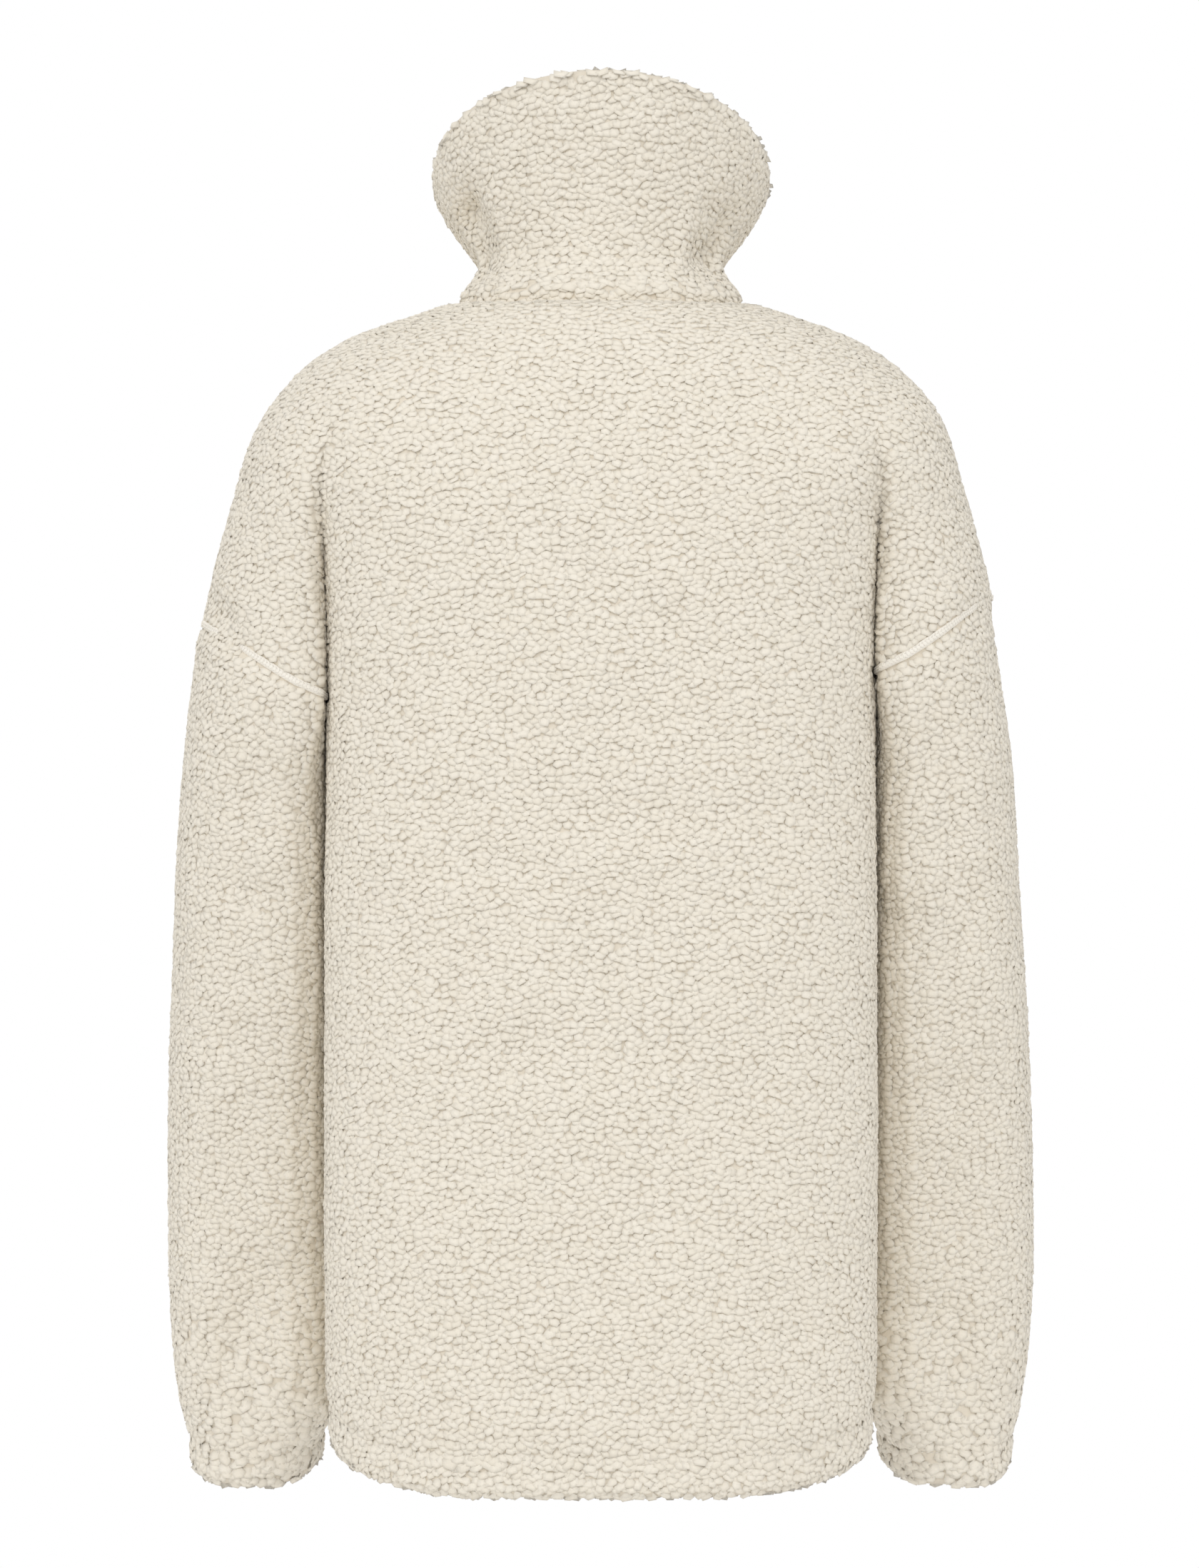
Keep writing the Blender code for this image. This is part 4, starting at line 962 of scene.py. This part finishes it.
def turned_to(tree, vector, rotation, axis, **pivot):
    """A rotation, or none to start with, turned so that one axis points along a vector."""
    inputs = {"Vector": vector} if rotation is None else {"Vector": vector, "Rotation": rotation}
    return add(tree, "FunctionNodeAlignRotationToVector", inputs, axis=axis, **pivot).outputs[0]


def turned_by(tree, rotation, angles):
    """A rotation followed by another one about its own axes, given as angles about x, y and z."""
    other = add(tree, "FunctionNodeEulerToRotation", {0: angles}).outputs[0]
    inputs = {"Rotation": rotation, "Rotate By": other}
    return add(tree, "FunctionNodeRotateRotation", inputs, rotation_space="LOCAL").outputs[0]


def planted(tree, spots, piece, rotation, **more):
    """One instance of a piece at every spot."""
    source = add(tree, "GeometryNodeObjectInfo", {"Object": piece, "As Instance": True}).outputs["Geometry"]
    inputs = {"Points": spots, "Instance": source, "Rotation": rotation, **more}
    return add(tree, "GeometryNodeInstanceOnPoints", inputs).outputs[0]


def finish_tree(tree, geometry, material):
    """Gives the geometry its material and makes it the output."""
    done = add(tree, "GeometryNodeSetMaterial", {"Geometry": geometry, "Material": material}).outputs[0]
    add(tree, "NodeGroupOutput", {"Geometry": done})


# %% The tree that grows the pile
MOST_POINTS = 700000.0  # a square metre, far above what the spacing lets through
THINNED_BY_SEAM = 0.62
CUFF_LEVEL, GROWN_LEVEL = -0.70, -0.52
LEAST_TURN, MOST_TURN = (-0.14, -0.07, -0.55), (0.06, 0.07, 0.55)
LEAST_SIZE, MOST_SIZE = (0.80, 0.80, 0.72), (1.20, 1.20, 1.30)
TUFT_SUNK, ROOT_SUNK, ROOT_BELOW = -0.0003, -0.0005, 0.05
BEND_SCALE, BEND = 330.0, 0.0018

pile, given = new_tree(
    "pile", Geometry="Geometry", Tuft="Object", Bare_Lines="Object", Fluffed_Lines="Object",
    Material="Material", Spacing="Float", Width="Float", Length="Float", Height="Float",
    Bare_Distance="Float", Fluff="Float", Fluff_Distance="Float", Lowest="Float", Highest="Float",
    Low_Growth="Float", Seed="Int",
)
from_fluffed = distance_to(pile, given["Fluffed Lines"])
from_bare = distance_to(pile, given["Bare Lines"])
level = add(pile, "GeometryNodeInputPosition").outputs[0]
level = add(pile, "ShaderNodeSeparateXYZ", {0: level}).outputs["Z"]
fluff = eased(pile, from_fluffed, 0.0, given["Fluff Distance"], given["Fluff"])
low_growth = eased(pile, level, CUFF_LEVEL, GROWN_LEVEL, given["Low Growth"])
thinner = eased(pile, from_fluffed, 0.0, given["Fluff Distance"], THINNED_BY_SEAM)
thinner = combined(pile, "MINIMUM", thinner, combined(pile, "SUBTRACT", 2.0, low_growth))
inputs = {"Mesh": given["Geometry"], "Selection": stored(pile, "has_pile", "BOOLEAN"), "Seed": given["Seed"],
          "Distance Min": given["Spacing"], "Density Max": MOST_POINTS, "Density Factor": thinner}
spread = add(pile, "GeometryNodeDistributePointsOnFaces", inputs, distribute_method="POISSON")
upright = spread.outputs["Normal"]
roots = stamped(pile, spread.outputs["Points"], "root_facing", upright, "FLOAT_VECTOR", "POINT")
unwanted = compared(pile, "LESS_THAN", from_bare, given["Bare Distance"])
for past in (compared(pile, "LESS_THAN", level, given["Lowest"]),
             compared(pile, "GREATER_EQUAL", level, given["Highest"])):
    unwanted = combined(pile, "OR", unwanted, past, kind="FunctionNodeBooleanMath")
inputs = {"Geometry": roots, "Selection": unwanted}
roots = add(pile, "GeometryNodeDeleteGeometry", inputs, domain="POINT").outputs[0]
nap = turned_to(pile, upright, None, "Z")
nap = turned_to(pile, (0.0, 0.0, 1.0), nap, "Y", pivot_axis="Z")
nap = turned_by(pile, nap, random_value(pile, LEAST_TURN, MOST_TURN, 5))
size = random_value(pile, LEAST_SIZE, MOST_SIZE, 8)
whole = add(pile, "ShaderNodeCombineXYZ", {0: given["Width"], 1: given["Length"], 2: given["Height"]})
size = combined(pile, "MULTIPLY", size, whole.outputs[0], kind="ShaderNodeVectorMath")
growth = combined(pile, "MAXIMUM", fluff, low_growth)
size = combined(pile, "SCALE", size, growth, kind="ShaderNodeVectorMath")
tufts = planted(pile, roots, given["Tuft"], nap, Scale=size)
tufts = stamped(pile, tufts, "tuft_shade", random_value(pile, 0.0, 1.0, 11), "FLOAT", "INSTANCE")
inputs = {"Instances": tufts, "Translation": (0.0, 0.0, TUFT_SUNK)}
tufts = add(pile, "GeometryNodeTranslateInstances", inputs).outputs[0]
tufts = add(pile, "GeometryNodeRealizeInstances", {"Geometry": tufts}).outputs[0]
spot = add(pile, "GeometryNodeInputPosition").outputs[0]
bend = add(pile, "ShaderNodeTexNoise", {"Vector": spot, "Scale": BEND_SCALE, "Detail": 0.0}).outputs["Color"]
bend = combined(pile, "SUBTRACT", bend, (0.5, 0.5, 0.5), kind="ShaderNodeVectorMath")
bend = combined(pile, "SCALE", bend, BEND, kind="ShaderNodeVectorMath")
tufts = add(pile, "GeometryNodeSetPosition", {"Geometry": tufts, "Offset": bend}).outputs[0]
# The root ring of each tuft is laid a little into the ground, so that none shows hollow at an edge.
is_root = compared(pile, "LESS_THAN", stored(pile, "tuft_height", "FLOAT"), ROOT_BELOW)
ground = add(pile, "GeometryNodeProximity", {0: given["Geometry"]}, target_element="FACES")
under = stored(pile, "root_facing", "FLOAT_VECTOR")
under = combined(pile, "SCALE", under, ROOT_SUNK, kind="ShaderNodeVectorMath")
laid = combined(pile, "ADD", ground.outputs["Position"], under, kind="ShaderNodeVectorMath")
inputs = {"Geometry": tufts, "Selection": is_root, "Position": laid}
finish_tree(pile, add(pile, "GeometryNodeSetPosition", inputs).outputs[0], given["Material"])


def grown(name, source, group, values):
    """Runs a Geometry Nodes tree on a copy of an object's mesh and keeps the result as a plain mesh."""
    made = link(name, source.data.copy())
    modifier = made.modifiers.new(group.name, "NODES")
    modifier.node_group = group
    for item in group.interface.items_tree:
        if item.in_out == "INPUT" and item.name in values:
            modifier[item.identifier] = values[item.name]
    graph = bpy.context.evaluated_depsgraph_get()
    mesh = bpy.data.meshes.new_from_object(made.evaluated_get(graph))
    made.modifiers.clear()
    made.data = mesh
    mesh.name = name
    mesh.calc_loop_triangles()
    print(name, len(mesh.loop_triangles), "triangles")
    return made


# %% Grow it on every panel
LEFT_DENT_X, RIGHT_DENT_X, DENT_SOFTNESS = 0.2180, -0.216, 0.010


def covered(line):
    """From 0 to 1, how far the pile closes over an armhole seam: in the dents at the back it hides it."""
    x, y = line[:, 0], line[:, 1]
    in_left = np.exp(-(((x - LEFT_DENT_X) / DENT_SOFTNESS) ** 2))
    return smooth_step(y / 0.02) * np.maximum(in_left, smooth_step((RIGHT_DENT_X - x) / DENT_SOFTNESS))


def bare_runs(line):
    """The runs of an armhole seam that show."""
    starts = np.flatnonzero(np.diff(np.concatenate([[True], covered(line) > 0.5, [True]]).astype(int)))
    return [line[a:b] for a, b in zip(starts[::2], starts[1::2]) if b - a > 1]


armhole_ids = {piece: ids[0, :SLEEVE_ARM] for piece, ids in sleeve_ids.items()}
showing = [run for ids in armhole_ids.values() for run in bare_runs(points[ids])]
bare_lines = line_object("bare_lines", showing)
fluffed_lines = line_object("fluffed_lines", [
    points[collar_ids[1]], hem_seam, cuff_seam_left, cuff_seam_right, points[collar_ids[-1]],
])
TUFTS = {
    # piece: panel, spacing, width, length, height, lowest and highest point
    "back_upper": ("back", 0.0032, 0.0074, 0.0061, 0.00102, -0.34, 1.0),
    "back_lower": ("back", 0.0032, 0.0074, 0.0061, 0.00102, -1.0, -0.34),
    "front_left": ("front_left", 0.0035, 0.0080, 0.0067, 0.00110, -1.0, 1.0),
    "front_right": ("front_right", 0.0035, 0.0080, 0.0067, 0.00110, -1.0, 1.0),
    "sleeve_left": ("sleeve_left", 0.0032, 0.0075, 0.0062, 0.00105, -1.0, 1.0),
    "sleeve_right": ("sleeve_right", 0.0032, 0.0075, 0.0062, 0.00105, -1.0, 1.0),
    "collar": ("collar", 0.0032, 0.0074, 0.0061, 0.00105, -1.0, 1.0),
}
pile_pieces = {}
for piece, (panel, spacing, width, length, tall, lowest, highest) in TUFTS.items():
    made = grown("pile_" + piece, cloth[panel], pile, {
        "Tuft": tuft_wide, "Bare Lines": bare_lines, "Fluffed Lines": fluffed_lines, "Material": pile_fleece,
        "Spacing": spacing, "Width": width, "Length": length, "Height": tall, "Bare Distance": 0.0036,
        "Fluff": 1.4, "Fluff Distance": 0.007, "Lowest": lowest, "Highest": highest,
        "Low Growth": 1.22 if panel.startswith("sleeve") else 1.0, "Seed": 3,
    })
    pile_pieces.setdefault(panel, []).append(made)

# %% [markdown]
# ## Seams and stitching
# The armhole seams are flatlocked: a smooth band 4 mm wide lies in the pile, with a row of thread along
# each side. The band is a strip swept along the seam, and it sinks where the pile closes over it. A stitch
# is a single small grain of thread, and Geometry Nodes set one every two or three millimetres.


# %% Lines on the cloth, and strips swept along them
def even_line(line, facing, step):
    """The same line with its points evenly spaced, and the outward direction at each."""
    run = run_along(line)
    places = np.linspace(0, run[-1], max(2, round(run[-1] / step)) + 1)
    return read_at(places, run, line), unit(read_at(places, run, facing))


def tube(name, rings):
    """A closed mesh through rings of points, one after another, with flat ends."""
    count, corners = rings.shape[:2]
    ids = np.arange(count * corners).reshape(count, corners)
    after = np.roll(ids, -1, axis=1)
    faces = np.stack([ids[:-1], after[:-1], after[1:], ids[1:]], -1).reshape(-1, 4).tolist()
    mesh = bpy.data.meshes.new(name)
    mesh.from_pydata(rings.reshape(-1, 3).tolist(), [], faces + [ids[0, ::-1].tolist(), ids[-1].tolist()])
    shape = bmesh.new()
    shape.from_mesh(mesh)
    bmesh.ops.recalc_face_normals(shape, faces=shape.faces)
    shape.to_mesh(mesh)
    shape.free()
    return mesh


def lay_flat(mesh, across, run):
    """Gives a tube a UV in metres: how far across and how far along each point of each ring lies."""
    place = np.stack(np.broadcast_arrays(across, run[:, None]), -1).reshape(-1, 2)
    uv = mesh.uv_layers.new(name="cloth")
    uv.data.foreach_set("uv", place[[loop.vertex_index for loop in mesh.loops]].ravel())


def swept(name, line, facing, section, material):
    """A solid strip: a section of (across, outward) points carried along a line."""
    side = unit(np.cross(facing, unit(np.gradient(line, axis=0))))
    section = np.array(section)
    rings = line[:, None] + side[:, None] * section[None, :, :1] + facing[:, None] * section[None, :, 1:]
    mesh = tube(name, rings)
    lay_flat(mesh, section[None, :, 0], run_along(line))
    mesh.materials.append(material)
    mesh.shade_smooth()
    mesh.set_sharp_from_angle(angle=math.radians(50))
    return link(name, mesh)


def guide(line, facing, sideways=0.0, outward=0.0):
    """A line of edges, moved sideways and outward, that keeps its facing as an attribute."""
    side = unit(np.cross(facing, unit(np.gradient(line, axis=0))))
    moved = line + side * sideways + facing * outward
    mesh = bpy.data.meshes.new("guide")
    mesh.from_pydata(moved.tolist(), [(i, i + 1) for i in range(len(moved) - 1)], [])
    kept = mesh.attributes.new("facing", "FLOAT_VECTOR", "POINT")
    kept.data.foreach_set("vector", np.ascontiguousarray(facing).ravel())
    return bpy.data.objects.new("guide", mesh)


# %% The tree that repeats a small piece along a line
MOST_LEAN = 0.12
repeat, given = new_tree(
    "repeat_along", Geometry="Geometry", Piece="Object", Material="Material", Pitch="Float", Turn="Float",
    Wander="Float",
)
curve = add(repeat, "GeometryNodeMeshToCurve", {"Mesh": given["Geometry"]}).outputs[0]
spots = add(repeat, "GeometryNodeCurveToPoints", {"Curve": curve, "Length": given["Pitch"]}, mode="LENGTH")
turned = turned_to(repeat, stored(repeat, "facing", "FLOAT_VECTOR"), None, "Z")
turned = turned_to(repeat, spots.outputs["Tangent"], turned, "Y", pivot_axis="Z")
lean = combined(repeat, "MULTIPLY", random_value(repeat, -MOST_LEAN, MOST_LEAN, 4), given["Wander"])
lean = combined(repeat, "ADD", lean, given["Turn"])
turned = turned_by(repeat, turned, add(repeat, "ShaderNodeCombineXYZ", {2: lean}).outputs[0])
row = planted(repeat, spots.outputs[0], given["Piece"], turned)
row = add(repeat, "GeometryNodeRealizeInstances", {"Geometry": row}).outputs[0]
finish_tree(repeat, row, given["Material"])


def joined(name, parts):
    """Joins finished meshes into one object."""
    shape = bmesh.new()
    materials = []
    for item in parts:
        for found in item.data.materials:
            if found not in materials:
                materials.append(found)
    for item in parts:
        before = len(shape.faces)
        shape.from_mesh(item.data)
        shape.faces.ensure_lookup_table()
        places = [materials.index(found) for found in item.data.materials]
        for face in shape.faces[before:]:
            face.material_index = places[min(face.material_index, len(places) - 1)]
        bpy.data.objects.remove(item)
    mesh = bpy.data.meshes.new(name)
    shape.to_mesh(mesh)
    shape.free()
    for found in materials:
        mesh.materials.append(found)
    return link(name, mesh)


# %% The stitch, the armhole bands and their rows of thread
STITCH_SIZE = (0.00060, 0.0021, 0.00050)
BAND_SECTION = [(-0.0022, -0.0029), (-0.0023, -0.0008), (-0.0016, 0.0000), (0.0, 0.0002), (0.0016, 0.0000),
                (0.0023, -0.0008), (0.0022, -0.0029)]
BAND_SINKS = 0.0024
BAND_ROWS = ((-0.00125, 0.5), (0.00125, -0.5), (0.0, 1.571))  # how far to the side, and turned how far

shape = bmesh.new()
bmesh.ops.create_icosphere(shape, subdivisions=1, radius=0.5)
bmesh.ops.scale(shape, vec=STITCH_SIZE, verts=shape.verts)
mesh = bpy.data.meshes.new("stitch")
shape.to_mesh(mesh)
shape.free()
mesh.shade_smooth()
stitch = bpy.data.objects.new("stitch", mesh)


def repeated(name, source, piece, material, pitch, turn=0.0, wander=0.0):
    """Repeats a piece along a guide, which is used up."""
    values = {"Piece": piece, "Material": material, "Pitch": pitch, "Turn": turn, "Wander": wander}
    made = grown(name, source, repeat, values)
    bpy.data.objects.remove(source)
    return made


seam_pieces = {}
for piece, ids in armhole_ids.items():
    line, facing = even_line(points[ids], out[ids], 0.0035)
    line = line - facing * BAND_SINKS * covered(line)[:, None]
    band = swept("armhole_band_" + piece[7:], line, facing, BAND_SECTION, flatlock)
    rows = [repeated("row", guide(line, facing, aside, 0.0002), stitch, thread, 0.0023, turn, wander=1.0)
            for aside, turn in BAND_ROWS]
    seam_pieces[band.name] = (band, piece)
    threads = joined("armhole_thread_" + piece[7:], rows)
    seam_pieces[threads.name] = (threads, piece)

# %% Rows of thread in the hem and the cuffs
TURN_PITCH, TURN_DEPTH = 0.0030, -0.0014


def thread_along(name, panel, line, facing):
    line, facing = even_line(line, facing, 0.006)
    made = repeated(name, guide(line, facing, 0.0, TURN_DEPTH), stitch, thread, TURN_PITCH, wander=1.0)
    seam_pieces[name] = (made, panel)


hem_facing = unit(out[torso_ids[:4]].mean(axis=0))
hem_low = at_height_above(torso_ids, HEM_TURN)
for panel, columns in (
    ("back", slice(low_quarter, 3 * low_quarter + 1)),
    ("front_left", slice(0, low_quarter + 1)),
    ("front_right", slice(3 * low_quarter, None)),
):
    thread_along("hem_thread_" + panel, panel, hem_low[columns], hem_facing[columns])
for panel, ids in sleeve_ids.items():
    up = ids[::-1]
    cuff_facing = unit(out[up[:4]].mean(axis=0))
    thread_along("cuff_thread_" + panel[7:], panel, at_height_above(up, CUFF_TURN), cuff_facing)

# %% [markdown]
# ## The zip
# A coil zip is two nylon springs sewn to two woven tapes. Their turns mesh down the middle. One turn is
# a bent wire, and the same tree sets it every 1.4 mm, the right-hand spring half a pitch after the left.
# The lines are worked out from the front edges, as the slider's own solid is, so they meet it.


# %% The two front edges and the line between them
class FrontEdge:
    """One front edge from the hem to the collar's top: points, and the directions up, out and across."""

    def __init__(self, column, side):
        numbers = [torso_ids[:-1, column], yoke_ids[:, column], collar_ids[1:, column]]
        ids = np.concatenate(numbers)
        up = unit(np.gradient(form[ids], axis=0))
        self.points, self.side = form[ids], side
        self.out = unit(out[ids] - up * np.sum(out[ids] * up, axis=1, keepdims=True))
        self.across = np.cross(self.out, up) * side
        self.run = run_along(self.points)
        self.neck = self.run[len(numbers[0]) + len(numbers[1]) - 1]

    def at(self, run, across, depth):
        """Points this far up the edge, this far across it and this deep."""
        across, depth = np.broadcast_to(across, run.shape), np.broadcast_to(depth, run.shape)
        known = (self.points, self.across, self.out)
        place, aside, outward = (read_at(run, self.run, values) for values in known)
        return place + unit(aside) * across[:, None] - unit(outward) * depth[:, None]

    def tape_reach(self, run):
        """How far the tape reaches past the edge: a little more once the zip is open."""
        return np.interp(run, [self.neck, self.neck + 0.02], [0.0061, 0.0075])


left_edge, right_edge = FrontEdge(0, 1), FrontEdge(-1, -1)
edge_top = left_edge.run[-1] - 0.003
middle_line = sum(edge.at(edge.run, FRONT_EDGE_X, 0.0) for edge in (left_edge, right_edge)) / 2 * (0, 1, 1)
middle_out = unit((left_edge.out + right_edge.out) * (0, 1, 1))
SLIDER_BELOW_NECK, SLIDER_HEIGHT, BOX_TOP = 0.0145, 0.011, 0.0125
closed_for, open_for = left_edge.neck - SLIDER_BELOW_NECK, edge_top - left_edge.neck
print("zip closed for", round(closed_for, 3), "m, open for", round(open_for, 3), "m")

# %% Woven tapes
TAPE_WIDTH, TAPE_FACE, TAPE_BACK = 0.0140, 0.0053, 0.0061
TAPE_SEWN_CLOSED, TAPE_SEWN_OPEN, TAPE_GAP = -0.0070, 0.0005, 0.0004

for edge, name in ((left_edge, "left"), (right_edge, "right")):
    below, above = np.arange(0.002, edge.neck - 0.003, 0.006), np.arange(edge.neck - 0.0025, edge_top, 0.0015)
    run = np.concatenate([below, above])
    near, far = np.where(run < edge.neck - 0.002, TAPE_SEWN_CLOSED, TAPE_SEWN_OPEN), edge.tape_reach(run)
    half = near * 0.5 + far * 0.5
    lines = [edge.at(run, across, TAPE_FACE) for across in (near, half, far)]
    lines += [edge.at(run, across, TAPE_BACK) for across in (far, half, near)]
    rings = np.stack(lines, 1)
    rings[:, :, 0] = edge.side * np.maximum(edge.side * rings[:, :, 0], TAPE_GAP)
    mesh = tube("zip_tape_cloth_" + name, rings)
    lay_flat(mesh, np.stack([near, half, far, far, half, near], 1), run)
    mesh.materials.append(woven_tape)
    tape = link("zip_tape_cloth_" + name, mesh)
    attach(tape, "jacket")
    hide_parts("zip_tape_" + name)
    area = float(sum(f.area for f in mesh.polygons)) / 2
    area = round(min(area, TAPE_WIDTH * edge_top), 5)

# %% One turn of the coil, and the springs
COIL_PITCH, WIRE, WIRE_SIDES = 0.0014, 0.00062, 5
TURN_PATH = np.array([
    (0.0029, -0.0047), (0.0008, -0.0047), (-0.0008, -0.0040), (0.0002, -0.0030), (0.0029, -0.0029),
])


def make_turn(name, mirror):
    """A wire bent through the turn's (across, outward) points, or through their mirror image."""
    path = np.stack([TURN_PATH[:, 0] * mirror, 0 * TURN_PATH[:, 0], TURN_PATH[:, 1]], 1)
    up = np.array([0.0, 1.0, 0.0])
    side = np.cross(unit(np.gradient(path, axis=0)), up)
    angle = np.arange(WIRE_SIDES)[None, :, None] * 2 * math.pi / WIRE_SIDES
    mesh = tube(name, path[:, None] + WIRE / 2 * (np.cos(angle) * up + np.sin(angle) * side[:, None]))
    mesh.shade_smooth()
    return bpy.data.objects.new(name, mesh)


turn_left, turn_right = make_turn("turn_left", 1), make_turn("turn_right", -1)
springs = []
for start, turn in ((BOX_TOP + 0.0006, turn_left), (BOX_TOP + 0.0006 + COIL_PITCH / 2, turn_right)):
    run = np.linspace(start, closed_for + 0.001, 220)
    line, facing = (read_at(run, left_edge.run, values) for values in (middle_line, middle_out))
    springs.append(repeated("coil", guide(line, unit(facing)), turn, nylon, COIL_PITCH))
chain = joined("coil_closed", springs)
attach(chain, "jacket")
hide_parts("zip_chain")
for edge, name, turn in ((left_edge, "left", turn_left), (right_edge, "right", turn_right)):
    slider_top = edge.neck - SLIDER_BELOW_NECK + SLIDER_HEIGHT
    run = np.concatenate([[slider_top + 0.0006], np.arange(edge.neck, edge_top, 0.002)])
    line = edge.at(run, edge.tape_reach(run) - 0.0004, 0.0)
    source = guide(line, unit(read_at(run, edge.run, edge.out)))
    made = repeated("coil_open_" + name, source, turn, nylon, COIL_PITCH)
    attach(made, "jacket")
    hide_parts("zip_chain_" + name)
for name, material in (("zip_slider", nickel), ("zip_pull", nickel), ("zip_box", nylon)):
    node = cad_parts[name]
    node.data.materials.clear()
    node.data.materials.append(material)

# %% [markdown]
# Each panel has a width and length as cut, and the area of its outline. Its pile and seams are attached with
# it.

# %% Cut list
CUT = {
    # panel: width and length of the cut
    "back": (0.72, 0.75),
    "front_left": (0.36, 0.72),
    "front_right": (0.36, 0.72),
    "sleeve_left": (0.44, 0.50),
    "sleeve_right": (0.44, 0.50),
    "collar": (0.52, 0.15),
}
for piece, made in cloth.items():
    for item in [made] + pile_pieces[piece]:
        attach(item, "jacket")
    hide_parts(piece)
    width, length = CUT[piece]
    print(piece, "flat", width, length, "share", round(cloth_area[piece] / (width * length), 3))
    trims = [trim for trim, panel in seam_pieces.values() if panel == piece]
    for trim in trims:
        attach(trim, "jacket")
    area = round(min(cloth_area[piece], width * length), 4)

# %% [markdown]
# ## Floor and light
# The photograph is lit softly from all round against white, a little more from above the camera, so the
# creases stay shallow. A white surround, one large soft lamp and two small ones at the sides do the
# same. A fourth lights the front, which this camera doesn't see. The floor is a pale disc 30 cm under the
# hem, small enough to stay out of the picture.

# %% Studio
FLOOR_BELOW, FLOOR_RADIUS = 0.30, 1.45
floor_at = (0.0, 0.0, cad_low.z - FLOOR_BELOW)
bpy.ops.mesh.primitive_circle_add(vertices=128, radius=FLOOR_RADIUS, fill_type="NGON", location=floor_at)
floor = bpy.context.object
floor.name = "studio_floor"
pale, tree, shader = new_material("pale_floor")
feed(tree, shader, {"Base Color": linear("f6f5f3"), "Roughness": 0.9})
floor.data.materials.append(pale)
floor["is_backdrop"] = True

# The surround looks white to the camera, and lights the jacket with two thirds of that strength.
world = bpy.data.worlds.new("surround")
bpy.context.scene.world = world
world.use_nodes = True
tree = world.node_tree
seen = add(tree, "ShaderNodeLightPath").outputs["Is Camera Ray"]
strength = add(tree, "ShaderNodeMapRange", {"Value": seen, "To Min": 0.68, "To Max": 1.0}).outputs["Result"]
feed(tree, tree.nodes["Background"], {"Color": linear("ffffff"), "Strength": strength})
bpy.context.scene.view_settings.view_transform = "Standard"

LAMPS = (
    # name, place, size, watts
    ("lamp_behind_camera", (0.3, 3.3, 2.3), 2.6, 47.0),
    ("lamp_left", (2.6, 1.6, 0.5), 1.6, 10.0),
    ("lamp_right", (-2.6, 1.6, 0.5), 1.6, 10.0),
    ("lamp_front", (0.6, -3.0, 1.2), 2.0, 40.0),
)
for name, where, across, watts in LAMPS:
    light = bpy.data.lights.new(name, "AREA")
    light.shape = "DISK"
    light.size = across
    light.energy = watts
    lamp = bpy.data.objects.new(name, light)
    lamp.location = where
    lamp.rotation_euler = (Vector((0, 0, -0.3)) - Vector(where)).to_track_quat("-Z", "Y").to_euler()
    bpy.context.scene.collection.objects.link(lamp)

# %% Sizes
for helper in (tuft_wide, bare_lines, fluffed_lines, stitch, turn_left, turn_right):
    bpy.data.objects.remove(helper)
low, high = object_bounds()
for label, box in (("CAD", cad_high - cad_low), ("visual", high - low)):
    print(label, "box", [round(1000 * side, 1) for side in box], "mm")
